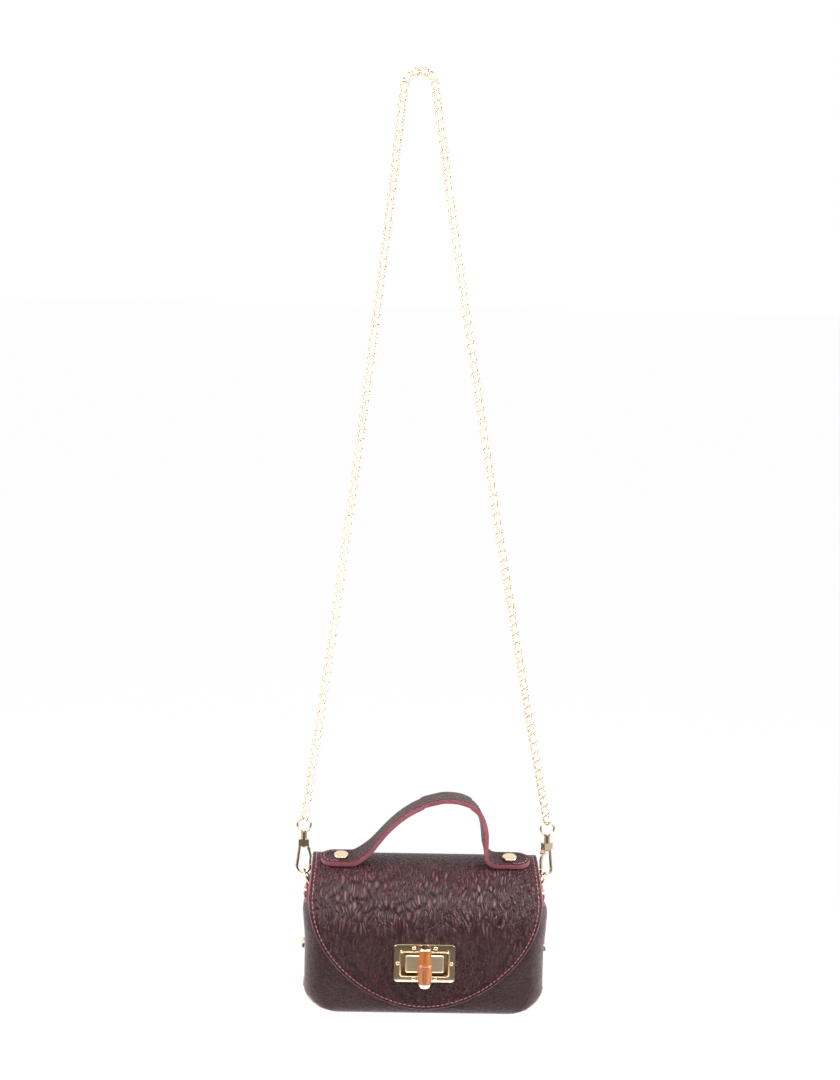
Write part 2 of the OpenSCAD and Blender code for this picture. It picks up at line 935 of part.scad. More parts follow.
module flap_leather() {
    color("#57343a")
        flap_layer(leather_t, 0, 0);
}

module flap_lining() {
    color("#8a5058")
        difference() {
            flap_layer(flap_t, leather_t + lay, lay);
            in_bag()
                translate([0, -front_y, magnet_h])
                    rotate([90, 0, 0])
                        cylinder(d = magnet_d + 2 * fit, h = 2 * flap_t, center = true);
        }
}

// The magnetic snap under the flap: one disc in the lining, the other riveted to the front panel
magnet_d = 13;
magnet_t = 0.8;
magnet_h = (flap_low + lock_h - frame_h / 2) / 2;

module flap_magnet() {
    color("silver")
        in_bag()
            translate([0, -front_y + leather_t + 2 * lay, magnet_h])
                rotate([-90, 0, 0])
                    cylinder(d = magnet_d, h = lining_t - 2 * lay);
}

module panel_magnet() {
    inner = leather_t + plate_t + 2 * lay;
    color("silver")
        in_bag()
            translate([0, -front_depth - lay, magnet_h])
                rotate([90, 0, 0]) {
                    cylinder(d = magnet_d, h = magnet_t);
                    translate([0, 0, -inner])
                        cylinder(d = post_d, h = inner + magnet_t / 2);
                }
}

module panel_magnet_back() {
    color("darkgoldenrod")
        in_bag()
            translate([0, -front_depth + leather_t + lay, magnet_h])
                rotate([-90, 0, 0])
                    rivet_back();
}

// Turn-lock: frame, block and back plate are pinned together through the flap, and the toggle turns in the block
module lock_frame() {
    color("goldenrod")
        in_toggle()
            difference() {
                union() {
                    translate([0, 0, lay])
                        linear_extrude(frame_t)
                            rounded(frame_w, frame_h, plate_r);
                    translate([0, 0, -flap_t / 2])
                        linear_extrude(lip_h + flap_t / 2)
                            rounded(slot_w + 2 * lip_t, slot_h + 2 * lip_t, slot_r);
                }
                translate([0, 0, -flap_t])
                    linear_extrude(lip_h + 2 * flap_t)
                        rounded(slot_w, slot_h, slot_r / 2);
                for (p = pin_places)
                    translate([p[0], p[1], -over])
                        cylinder(d = pin_d + 2 * fit, h = frame_t + 2 * over);
            }
}

module lock_frame_pins() {
    color("gold")
        in_toggle()
            for (p = pin_places)
                translate([p[0], p[1], -flap_t - lock_plate_t])
                    cylinder(d = pin_d, h = flap_t + lock_plate_t + frame_t + pin_head);
}

module lock_back_plate() {
    color("darkgoldenrod")
        in_toggle()
            translate([0, 0, -flap_t - lay - lock_plate_t])
                difference() {
                    linear_extrude(lock_plate_t)
                        rounded(frame_w - plate_r, frame_h - plate_r, plate_r);
                    for (p = pin_places)
                        translate([p[0], p[1], -over])
                            cylinder(d = pin_d + 2 * fit, h = lock_plate_t + 2 * over);
                    for (x = [-base_pin_x, base_pin_x])
                        translate([x, 0, -over])
                            cylinder(d = base_pin_d + 2 * fit, h = lock_plate_t + 2 * over);
                }
}

block_t = flap_t + lip_h - 2 * gap;
cavity_d = 8.6;
cavity_t = 2.4;

module lock_base() {
    color("darkkhaki")
        in_toggle()
            translate([0, 0, -flap_t])
                difference() {
                    linear_extrude(block_t)
                        rounded(block_w, block_h, slot_r);
                    translate([0, 0, -over])
                        cylinder(d = spindle_d + 2 * fit, h = block_t + 2 * over);
                    translate([0, 0, -over])
                        cylinder(d = cavity_d, h = cavity_t + over);
                    for (x = [-base_pin_x, base_pin_x])
                        translate([x, 0, -over])
                            cylinder(d = base_pin_d + 2 * fit, h = block_t / 2 + over);
                }
}

module lock_base_pins() {
    color("darkgoldenrod")
        in_toggle()
            for (x = [-base_pin_x, base_pin_x])
                translate([x, 0, -flap_t - lock_plate_t])
                    cylinder(d = base_pin_d, h = lock_plate_t + block_t / 2 - gap);
}

// The toggle, with its spindle held in the block by a springy washer and a clip
cup_wall = 0.4;
cup_l = (toggle_l - bamboo_l) / 2;
strip_t = 1;
strip_w = 3.2;
strip_z = toggle_out - cup_d / 2 - strip_t;
washer_t = 0.8;
clip_t = 0.8;
clip_d = 8;
spindle_in = flap_t - gap;
washer_top = -flap_t + cavity_t - fit;

module toggle_cradle() {
    reach = strip_z + strip_t / 2 + spindle_in;
    color("gold")
        in_toggle() {
            difference() {
                for (end = [-1, 1])
                    translate([0, end * (toggle_l / 2 - cup_l / 2), toggle_out])
                        rotate([90, 0, 0])
                            cylinder(d = cup_d, h = cup_l, center = true);
                translate([0, 0, toggle_out])
                    rotate([90, 0, 0])
                        cylinder(d = cup_d - 2 * cup_wall, h = toggle_l - 2 * strip_t, center = true);
            }
            translate([-strip_w / 2, -toggle_l / 2 + strip_t / 2, strip_z])
                cube([strip_w, toggle_l - strip_t, strip_t]);
            for (end = [-1, 1])
                translate([-strip_w / 2, end * (toggle_l / 2 - strip_t / 2) - strip_t / 2, strip_z])
                    cube([strip_w, strip_t, toggle_out - strip_z]);
            translate([0, 0, -spindle_in])
                cylinder(d = spindle_d, h = reach);
        }
}

bamboo_end_d = cup_d - 2 * cup_wall - 2 * fit;
bamboo_d = cup_d - gap;
knot_z = 1.9;
knot_h = 1.2;
knot_d = cup_d;

module toggle_bamboo() {
    whole = toggle_l - 2 * strip_t - 2 * fit;
    between = bamboo_l - 2 * gap;
    color("peru")
        in_toggle()
            translate([0, 0, toggle_out])
                rotate([-90, 0, 0]) {
                    cylinder(d = bamboo_end_d, h = whole, center = true);
                    cylinder(d = bamboo_d - gap, h = between, center = true);
                    translate([0, 0, knot_z])
                        cylinder(d = knot_d - gap, h = knot_h, center = true);
                }
}

module washer(outer, height, z) {
    in_toggle()
        translate([0, 0, z])
            difference() {
                cylinder(d = outer, h = height);
                translate([0, 0, -over])
                    cylinder(d = spindle_d + 2 * fit, h = height + 2 * over);
            }
}

module toggle_washer() {
    color("silver")
        washer(clip_d, washer_t, washer_top - washer_t);
}

module toggle_clip() {
    color("silver")
        washer(clip_d, clip_t, washer_top - washer_t - lay - clip_t);
}

chain_left();
chain_right();
left_hook_eye();
right_hook_eye();
left_hook_body();
right_hook_body();
left_gate();
right_gate();
left_gate_pin();
right_gate_pin();
left_gate_spring();
right_gate_spring();
left_d_ring();
right_d_ring();
left_ring_tab();
right_ring_tab();
front_panel();
back_panel();
base_panel();
base_board();
left_gusset();
right_gusset();
side_rivets();
side_rivet_backs();
handle_strap();
handle_rivets();
handle_rivet_backs();
flap_leather();
flap_lining();
flap_magnet();
panel_magnet();
panel_magnet_back();
lock_frame();
lock_frame_pins();
lock_back_plate();
lock_base();
lock_base_pins();
toggle_cradle();
toggle_bamboo();
toggle_washer();
toggle_clip();
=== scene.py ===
import bpy
import numpy as np
from mathutils import Matrix, Vector


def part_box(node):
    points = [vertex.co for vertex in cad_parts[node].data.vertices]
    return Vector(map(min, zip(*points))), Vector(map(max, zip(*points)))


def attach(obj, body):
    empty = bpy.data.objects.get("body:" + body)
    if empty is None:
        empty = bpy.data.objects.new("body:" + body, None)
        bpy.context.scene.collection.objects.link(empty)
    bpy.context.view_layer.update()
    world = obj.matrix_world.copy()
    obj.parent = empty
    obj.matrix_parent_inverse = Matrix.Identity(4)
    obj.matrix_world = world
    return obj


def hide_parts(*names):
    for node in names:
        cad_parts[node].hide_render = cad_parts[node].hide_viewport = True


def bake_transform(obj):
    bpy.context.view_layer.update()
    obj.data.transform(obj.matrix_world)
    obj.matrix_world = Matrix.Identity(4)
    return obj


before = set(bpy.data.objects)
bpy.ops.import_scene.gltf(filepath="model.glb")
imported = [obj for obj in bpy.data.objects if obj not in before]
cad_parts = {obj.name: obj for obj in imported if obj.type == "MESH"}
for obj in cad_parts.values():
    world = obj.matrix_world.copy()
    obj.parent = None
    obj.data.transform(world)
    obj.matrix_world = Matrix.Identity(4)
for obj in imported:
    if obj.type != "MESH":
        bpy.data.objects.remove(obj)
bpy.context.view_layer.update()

# The camera stands about 1.6 m in front of the hanging strap, a little to the left and well above
# the bag. It looks slightly down, and is turned by a little over a degree about its own axis.
photo_height = 1080
focal_pixels = 2299
pitch, yaw, roll = np.radians([7.96, 1.61, 1.36])
ahead = np.array([np.sin(yaw) * np.cos(pitch), np.cos(yaw) * np.cos(pitch), -np.sin(pitch)])
level = np.array([np.cos(yaw), -np.sin(yaw), 0])
above = np.cross(level, ahead)
seat = np.eye(4)
seat[:3, 0] = np.cos(roll) * level + np.sin(roll) * above
seat[:3, 1] = np.cos(roll) * above - np.sin(roll) * level
seat[:3, 2] = -ahead
seat[:3, 3] = [-0.0374, -1.6169, -0.1012]
camera = bpy.data.objects.new("camera", bpy.data.cameras.new("camera"))
camera.data.sensor_fit = "VERTICAL"
camera.data.sensor_height = 36
camera.data.lens = focal_pixels * camera.data.sensor_height / photo_height
camera.matrix_world = Matrix(seat.tolist())
bpy.context.scene.collection.objects.link(camera)
bpy.context.scene.camera = camera
bpy.context.scene.view_settings.view_transform = "Standard"

# The studio is a white room with wide soft lamps in front, overhead and at both sides. The wide front ones
# aren't mirrored in the gilt; small glints are, so that it doesn't burn out. The room is white to the
# camera and in reflections, and gives a softer light than that to everything else.
def link_to(material, socket, value):
    """Joins another node's output to a socket, or sets the socket's own value."""
    if isinstance(value, bpy.types.NodeSocket):
        material.node_tree.links.new(value, socket)
    else:
        socket.default_value = value


def add_node(material, kind, settings=(), **inputs):
    """Adds one shader node. Its sockets are named with _ for a space, or numbered in0, in1 and so on."""
    node = material.node_tree.nodes.new("ShaderNode" + kind)
    for key, value in dict(settings).items():
        setattr(node, key, value)
    for key, value in inputs.items():
        place = int(key[2:]) if key[:2] == "in" and key[2:].isdigit() else key.replace("_", " ")
        link_to(material, node.inputs[place], value)
    return node


def maths(material, operation, *values, clamp=False):
    """The result of one operation on up to three values or outputs."""
    inputs = {f"in{k}": value for k, value in enumerate(values)}
    return add_node(material, "Math", {"operation": operation, "use_clamp": clamp}, **inputs).outputs[0]


room = bpy.data.worlds.new("white_room")
room.use_nodes = True
bpy.context.scene.world = room
ray = add_node(room, "LightPath")
reflected = maths(room, "MAXIMUM", ray.outputs["Is Glossy Ray"], ray.outputs["Is Transmission Ray"])
seen = maths(room, "MAXIMUM", ray.outputs["Is Camera Ray"], reflected)
soft = add_node(room, "Background", Color=(0.96, 0.98, 1, 1), Strength=0.55)
white = add_node(room, "Background", Color=(1, 1, 1, 1), Strength=1)
choice = add_node(room, "MixShader", in0=seen, in1=soft.outputs[0], in2=white.outputs[0])
link_to(room, room.node_tree.nodes["World Output"].inputs["Surface"], choice.outputs[0])

bag_middle = Vector((0.017, 0, -0.61))
lamps = {
    "lamp_left": ((-1.1, -1.5, 0.45), 0.9, 22, False),
    "lamp_right": ((1.3, -1.4, 0.35), 0.9, 15, False),
    "lamp_top": ((0.15, -0.5, 1), 0.9, 22, False),
    "lamp_left_side": ((-1.4, -0.2, 0.25), 0.7, 30, True),
    "lamp_right_side": ((1.4, -0.2, 0.25), 0.7, 42, True),
    "glint_left": ((-0.9, -1.5, 0.5), 0.45, 5, True),
    "glint_right": ((1.2, -1.4, 0.4), 0.4, 4, True),
    "glint_top": ((0.15, -0.7, 1), 0.5, 5, True),
}
for name, (place, width, power, mirrored) in lamps.items():
    lamp = bpy.data.objects.new(name, bpy.data.lights.new(name, "AREA"))
    lamp.data.size = width
    lamp.data.energy = power
    lamp.visible_glossy = mirrored
    turn = (Vector(place) - bag_middle).to_track_quat("Z", "Y").to_matrix().to_4x4()
    lamp.matrix_world = Matrix.Translation(place) @ turn
    bpy.context.scene.collection.objects.link(lamp)


def add_mesh(name, points, faces, *finishes, marks=0, sharp=40):
    """Makes an object from points in metres, the faces' corners, and materials with each face's mark."""
    mesh = bpy.data.meshes.new(name)
    faces = np.asarray(faces, np.int32)
    points = np.asarray(points, np.float32).ravel()
    mesh.vertices.add(len(points) // 3)
    mesh.vertices.foreach_set("co", points)
    mesh.loops.add(faces.size)
    mesh.loops.foreach_set("vertex_index", faces.ravel())
    mesh.polygons.add(len(faces))
    mesh.polygons.foreach_set("loop_start", np.arange(0, faces.size, faces.shape[1], dtype=np.int32))
    mesh.polygons.foreach_set("material_index", np.broadcast_to(marks, len(faces)).astype(np.int32))
    mesh.polygons.foreach_set("use_smooth", np.ones(len(faces), bool))
    mesh.update(calc_edges=True)
    mesh.validate()
    mesh.set_sharp_from_angle(angle=np.radians(sharp))
    for finish in finishes:
        mesh.materials.append(finish)
    piece = bpy.data.objects.new(name, mesh)
    bpy.context.scene.collection.objects.link(piece)
    return piece


def joined(*parts):
    """Points from their coordinates, or rows from their columns, spread to one common grid."""
    return np.stack(np.broadcast_arrays(*parts), -1)


def copies(faces, count, size):
    """The faces of several pieces of one form, whose points follow each other."""
    return (faces[None] + np.arange(count)[:, None, None] * size).reshape(-1, faces.shape[1])


def cells(rows, columns, round_rows=False, round_columns=False):
    """The corners of every cell of a grid of points, row by row, and round to the start where asked."""
    r = np.arange(rows if round_rows else rows - 1)[:, None]
    c = np.arange(columns if round_columns else columns - 1)[None, :]
    here, above = r * columns, (r + 1) % rows * columns
    over = (c + 1) % columns
    return joined(here + c, here + over, above + over, above + c).reshape(-1, 4)


def round_cells(grid):
    """The cells of a grid of points whose rows are closed rings."""
    return cells(*grid.shape[:2], False, True)


# The floor is a plain pale sheet far below the hanging bag. A dark cloth lies below and hangs behind the
# camera, so that flat gilt parts have something dark to mirror, as they have in the photograph.
def plain_finish(name, colour, roughness, **sockets):
    """A material with one Principled shader. Other names set that shader's own sockets."""
    material = bpy.data.materials.new(name)
    material.use_nodes = True
    shader = material.node_tree.nodes["Principled BSDF"]
    link_to(material, shader.inputs["Base Color"], colour)
    link_to(material, shader.inputs["Roughness"], roughness)
    for key, value in sockets.items():
        link_to(material, shader.inputs[key.replace("_", " ")], value)
    return material, shader


floor_finish, floor_shader = plain_finish("pale_floor", (0.86, 0.86, 0.86, 1), 0.8)
floor_ray = add_node(floor_finish, "LightPath")
glow = add_node(floor_finish, "Emission", Color=(1, 1, 1, 1), Strength=1.04)
share = maths(floor_finish, "MULTIPLY", floor_ray.outputs["Is Camera Ray"], 0.9)
blend_in = add_node(floor_finish, "MixShader", in0=share, in1=floor_shader.outputs[0], in2=glow.outputs[0])
link_to(floor_finish, floor_finish.node_tree.nodes["Material Output"].inputs["Surface"], blend_in.outputs[0])
floor_z = -1.3
floor_half = 30
floor = add_mesh("floor", np.array([[-1, -1], [1, -1], [1, 1], [-1, 1]]) @ np.eye(2, 3) * floor_half
                 + [0, 0, floor_z], [[0, 1, 2, 3]], floor_finish)

cloth_finish, _ = plain_finish("dark_cloth", (0.12, 0.11, 0.1, 1), 1)
cloth_path = [(-1.15, floor_z + 0.01), (-2.4, floor_z + 0.01), (-2.7, -1), (-2.7, 1.7)]
cloth = add_mesh("dark_cloth", [(x, y, z) for y, z in cloth_path for x in (-2.1, 2.1)], cells(4, 2),
                 cloth_finish)
cloth.visible_camera = False

# The gilt hardware is pale gold plate: the snap hooks, swivel eyes, gates, D-rings and side rivets keep
# their shape from the frame. The plate is slightly uneven, with fine rubbing marks and dull patches.
def object_place(material):
    """Places in the object's own coordinates."""
    return add_node(material, "TexCoord").outputs["Object"]


def attribute(material, name):
    """A number that each point of the piece carries."""
    return add_node(material, "Attribute", {"attribute_name": name}).outputs["Fac"]


def ramp(material, value, low, high, new_low=0, new_high=1, smooth=False):
    """Maps a value from one span to another, evenly or with a soft start and end."""
    settings = {"interpolation_type": "SMOOTHSTEP" if smooth else "LINEAR"}
    return add_node(material, "MapRange", settings, Value=value, From_Min=low, From_Max=high,
                    To_Min=new_low, To_Max=new_high).outputs[0]


def mix_colours(material, factor, first, second, blend="MIX"):
    """A colour between two others, or their product."""
    settings = {"data_type": "RGBA", "blend_type": blend}
    return add_node(material, "Mix", settings, in0=factor, in6=first, in7=second).outputs[2]


def noise(material, place, scale, detail=2, roughness=0.5):
    """The value of a noise pattern."""
    return add_node(material, "TexNoise", Vector=place, Scale=scale, Detail=detail,
                    Roughness=roughness).outputs[0]


def stretched(material, place, *scale):
    """A place with each of its coordinates scaled by its own number."""
    return add_node(material, "Mapping", Vector=place, Scale=scale).outputs[0]


def emboss(material, shader, height, strength, depth):
    """Gives the shader a relief of a depth in metres."""
    bump = add_node(material, "Bump", Strength=strength, Distance=depth, Height=height)
    link_to(material, shader.inputs["Normal"], bump.outputs[0])


def gilt_finish(name, colour, roughness):
    """Plated metal: a broad noise dulls it in patches, and a fine stretched noise gives rubbing marks."""
    material, shader = plain_finish(name, colour, roughness, Metallic=1)
    place = object_place(material)
    patches = noise(material, place, 140, 3)
    dull = ramp(material, patches, 0.35, 0.7, roughness * 0.92, roughness * 1.15)
    link_to(material, shader.inputs["Roughness"], dull)
    clean = tuple(np.array(colour[:3]) * [1.01, 1.01, 1.02]) + (1,)
    worn = tuple(np.array(colour[:3]) * [0.98, 0.97, 0.95]) + (1,)
    link_to(material, shader.inputs["Base Color"], mix_colours(material, patches, clean, worn))
    scratches = noise(material, stretched(material, place, 900, 900, 5200), 1)
    emboss(material, shader, scratches, 0.08, 0.00004)
    return material


gilt = gilt_finish("gilt_plate", (0.92, 0.75, 0.52, 1), 0.09)
dull_gilt = gilt_finish("dull_gilt", (0.62, 0.45, 0.25, 1), 0.34)
steel = gilt_finish("spring_steel", (0.56, 0.56, 0.55, 1), 0.3)


def refinish(finish, *nodes):
    """Gives parts of the frame that keep their own shape a better material."""
    for name in nodes:
        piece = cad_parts[name]
        piece.data.materials.clear()
        piece.data.materials.append(finish)


refinish(gilt, "left_hook_eye", "right_hook_eye", "left_hook_body", "right_hook_body", "left_gate",
         "right_gate", "left_d_ring", "right_d_ring", "side_rivets")
refinish(dull_gilt, "left_gate_pin", "right_gate_pin", "side_rivet_backs", "handle_rivet_backs",
         "panel_magnet_back", "lock_back_plate", "lock_base_pins")
refinish(steel, "left_gate_spring", "right_gate_spring", "flap_magnet", "panel_magnet",
         "toggle_washer", "toggle_clip")

# The chain is a curb chain of twisted oval links in gilt wire, hung over one point and hooked into the
# swivel eyes. Each link is turned by 45 degrees one way at its foot and the other way at its head.
link_pitch = 6.78
link_width = 6.2
link_wire = 1.4
strand_bow = 3
crown_pitch = 6.46
crown_slopes = {-1: (22, 54), 1: (9, 47)}
strand_count = {-1: 80, 1: 81}
eye_left, eye_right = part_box("left_hook_eye"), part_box("right_hook_eye")
eye_wire = 1.5
eye_slack = 0.37


def unit(vectors):
    """The same directions with a length of one."""
    return vectors / (np.linalg.norm(vectors, axis=-1, keepdims=True) + 1e-12)


def whole_turn(steps):
    """Even angles round a whole turn."""
    return np.linspace(0, 2 * np.pi, steps, endpoint=False)


def crown_ends(side):
    """Where the two steep links beside the crown end: the running sum of their sloping steps."""
    slopes = np.radians(crown_slopes[side])
    return crown_pitch * joined(side * np.cos(slopes), -np.sin(slopes)).cumsum(0)


def strand_foot(side):
    """Where the strand's last link meets the swivel eye, just inside the top of the eye's wire."""
    low, high = eye_left if side < 0 else eye_right
    top = high.z * 1000 - (eye_wire * 1.5 + 0.02)
    return np.array([(low.x + high.x) / 2 * 1000, top - eye_slack + eye_wire / 2])


def strand_joints(side):
    """Joints from the crown down: two steep steps, then a straight run with a parabola of inward bow."""
    first, start = crown_ends(side)
    share = np.linspace(0, 1, strand_count[side] - 1)[:, None]
    run = strand_foot(side) - start
    inward = side * unit(np.array([run[1], -run[0]]))
    return np.vstack([[0, 0], first, start + share * run + 4 * strand_bow * share * (1 - share) * inward])


def ring_tube(middle, tube, across, sides):
    """A closed tube: rings of points round each middle point, spanned by the path's two cross directions."""
    turn = whole_turn(sides)
    offset = np.cos(turn)[:, None, None] * across[0] + np.sin(turn)[:, None, None] * across[1]
    return np.swapaxes(middle + tube / 2 * offset, 0, 1)


def curb_link(half, radius, wire, steps=14, sides=6):
    """An oval of wire along Z, twisted about Z by 45 degrees at each end in step with the height."""
    turn = whole_turn(steps)
    straight = half - radius
    z = radius * np.cos(turn) + straight * np.clip(np.cos(turn) * 2.2, -1, 1)
    x = radius * np.sign(np.sin(turn)) * np.abs(np.sin(turn)) ** 0.85
    twist = np.radians(45) * np.sin(np.clip(z / half, -1, 1) * np.pi / 2)
    middle = joined(x * np.cos(twist), x * np.sin(twist), z)
    ahead = unit(np.roll(middle, -1, 0) - np.roll(middle, 1, 0))
    out = middle - [0, 0, 1] * np.clip(middle[:, 2:], -straight, straight)
    out = unit(out - (out * ahead).sum(1, keepdims=True) * ahead)
    return ring_tube(middle, wire, (out, np.cross(ahead, out)), sides)


for side, name in ((-1, "chain_left"), (1, "chain_right")):
    joints = strand_joints(side)
    run = np.diff(joints, axis=0)
    middles = (joints[1:] + joints[:-1]) / 2
    slope = np.arctan2(run[:, 0], run[:, 1])
    link = curb_link((link_pitch + link_wire) / 2, (link_width - link_wire) / 2, link_wire)
    c, s, across, down = np.stack([np.cos(slope), np.sin(slope), *middles.T])[:, :, None, None]
    x, y, z = np.moveaxis(link, -1, 0)
    placed = joined(across + c * x + s * z, y, down - s * x + c * z)
    faces = copies(cells(*link.shape[:2], True, True), len(slope), link.shape[0] * link.shape[1])
    chain = add_mesh(name + "_links", placed / 1000, faces, gilt, sharp=180)
    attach(chain, "strap")
    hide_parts(name)

# The bag's leather is aubergine calf, 1.8 mm thick, with a pebbled grain side, a raw rosy cut edge and
# a plain flesh side. The front panel and its two wings are one piece, folded round the upright corners.
low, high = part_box("base_panel")
bag_origin = np.array([(low.x + high.x) / 2, 0, low.z])
leather_t = 1.8
body_half = 86
corner_r = 18
upright_r = 12
base_r = 6
front_y = -36.8
back_y = 36
wing_top = 79
wing_gap = 7.85
seam_top = 16
wing_corner = 5
wing_flare = 2
flare_from = 50
curl_in = 1.7
curl_from = 72.5


def distances(path):
    """The way along a path to each of its points."""
    return np.concatenate([[0], np.linalg.norm(np.diff(path, axis=0), axis=1).cumsum()])


def in_bag(points):
    """Takes points in millimetres from the middle of the bag's base to metres in the shared frame."""
    return np.asarray(points) / 1000 + bag_origin


def between(value, low, high):
    """The share of the way from low to high, held between 0 and 1."""
    return np.clip((value - low) / (high - low), 0, 1)


def eased_between(value, low, high):
    """The same share with a soft start and end: three times its square less twice its cube."""
    share = between(value, low, high)
    return share * share * (3 - 2 * share)


def round_off(radius, into):
    """How far a quarter circle falls back at a distance into it: its radius, less the root of the
    radius squared minus the distance squared."""
    return radius - np.sqrt(radius ** 2 - np.clip(into, 0, radius) ** 2)


def leather_finish(name, colour, groove_shade, gloss, sheen, pebble=2.1, crease=1.4, depth=0.6):
    """Grained leather on a piece's own UV map, in decimetres along the skin. The cells of one pattern are
    round pebbles. Where the skin is drawn, the long cells of another make creases. The gaps get painted
    shade and the crests a pale painted highlight, most where the skin is drawn. The attribute rim, in
    millimetres from a cut edge, presses and darkens the edge."""
    material, shader = plain_finish(name, colour, 0.46, Specular_IOR_Level=gloss, Sheen_Weight=sheen,
                                    Sheen_Roughness=0.45, Sheen_Tint=(0.9, 0.82, 0.84, 1))
    skin = add_node(material, "UVMap", {"uv_map": "skin"}).outputs[0]
    warp = add_node(material, "TexNoise", Vector=skin, Scale=5, Detail=2).outputs[1]
    domes, crests = [], []
    for reach, across, along in (((0.05, 0.05, 0), 100, 72), ((0.09, 0.06, 0), 92, 22)):
        moved = add_node(material, "VectorMath", {"operation": "MULTIPLY_ADD"}, in0=warp, in1=reach, in2=skin)
        place = stretched(material, moved.outputs[0], across / pebble, along / pebble, 1)
        gaps, away = (add_node(material, "TexVoronoi", {"feature": kind}, Vector=place,
                               Scale=1).outputs["Distance"] for kind in ("DISTANCE_TO_EDGE", "F1"))
        crown = ramp(material, away, 0.1, 0.75, 1, 0, smooth=True)
        side = maths(material, "MULTIPLY", ramp(material, gaps, 0, 0.17, smooth=True), 0.5)
        domes.append(maths(material, "MULTIPLY_ADD", crown, 0.5, side))
        crests.append(ramp(material, gaps, 0.17, 0.36, smooth=True))
    area = noise(material, skin, 3.4)
    drawn, rim = attribute(material, "drawn"), attribute(material, "rim")
    amount = maths(material, "MULTIPLY", ramp(material, area, 0.35, 0.6, 0.6), drawn, clamp=True)
    grain, crest = (add_node(material, "Mix", {"data_type": "FLOAT"}, in0=amount, in2=both[0],
                             in3=both[1]).outputs[0] for both in (domes, crests))
    height = maths(material, "MULTIPLY", grain, maths(material, "MULTIPLY_ADD", amount, crease, 1.0))
    pressed = maths(material, "MULTIPLY_ADD", ramp(material, rim, 1.2, 2.4, smooth=True), 0.9, height)
    relief = maths(material, "MULTIPLY_ADD", noise(material, skin, 420), 0.2, pressed)
    emboss(material, shader, relief, 1, depth / 1000)
    # Painted shade: the gaps of the grain are darkened towards the groove colour, deepest at the cell edges.
    painted_groove_shade = mix_colours(material, grain, groove_shade, colour)
    # Painted highlight: a pale greyish tone is laid on the crests of the grain, most where the skin is drawn.
    paler = maths(material, "MULTIPLY", crest, ramp(material, amount, 0, 1, 0.1, 0.9))
    pale = tuple(0.5 * np.array(colour[:3]) + [0.088, 0.052, 0.057]) + (1,)
    painted_crest_highlight = mix_colours(material, paler, painted_groove_shade, pale)
    worn = mix_colours(material, 1.0, painted_crest_highlight, ramp(material, area, 0.3, 0.7, 0.84, 1.16), "MULTIPLY")
    edged = mix_colours(material, 1.0, worn, ramp(material, rim, 0.6, 3.2, 0.62, 1), "MULTIPLY")
    link_to(material, shader.inputs["Base Color"], edged)
    link_to(material, shader.inputs["Roughness"], ramp(material, relief, 0, 2, 0.5, 0.3))
    return material


def raw_finish(name, colour, shade, fibre=900):
    """Cut or split leather: fine fibres from two noises, with the darker shade between them."""
    material, shader = plain_finish(name, colour, 0.85, Specular_IOR_Level=0.25, Sheen_Weight=0.25)
    place = object_place(material)
    fine = noise(material, place, fibre, 4, 0.65)
    both = maths(material, "MULTIPLY_ADD", noise(material, place, fibre / 14), 0.5, fine)
    spread = ramp(material, both, 0.5, 1)
    link_to(material, shader.inputs["Base Color"], mix_colours(material, spread, shade, colour))
    emboss(material, shader, fine, 0.6, 0.0002)
    return material


calf = leather_finish("aubergine_calf", (0.04, 0.007, 0.009, 1), (0.009, 0.0015, 0.002, 1), 0.24, 0.02)
smooth_calf = leather_finish("smooth_calf", (0.026, 0.0065, 0.0085, 1), (0.017, 0.004, 0.005, 1), 0.36, 0.36,
                             pebble=1.6, crease=0.2, depth=0.24)
raw_edge = raw_finish("raw_edge", (0.24, 0.065, 0.084, 1), (0.13, 0.03, 0.04, 1), 1500)
dyed_edge = raw_finish("dyed_edge", (0.17, 0.075, 0.09, 1), (0.1, 0.035, 0.045, 1), 1500)
flesh_side = raw_finish("flesh_side", (0.25, 0.11, 0.12, 1), (0.15, 0.06, 0.07, 1))
edge_bevel = 0.32
edge_brow = 0.22
edge_belly = 0.12


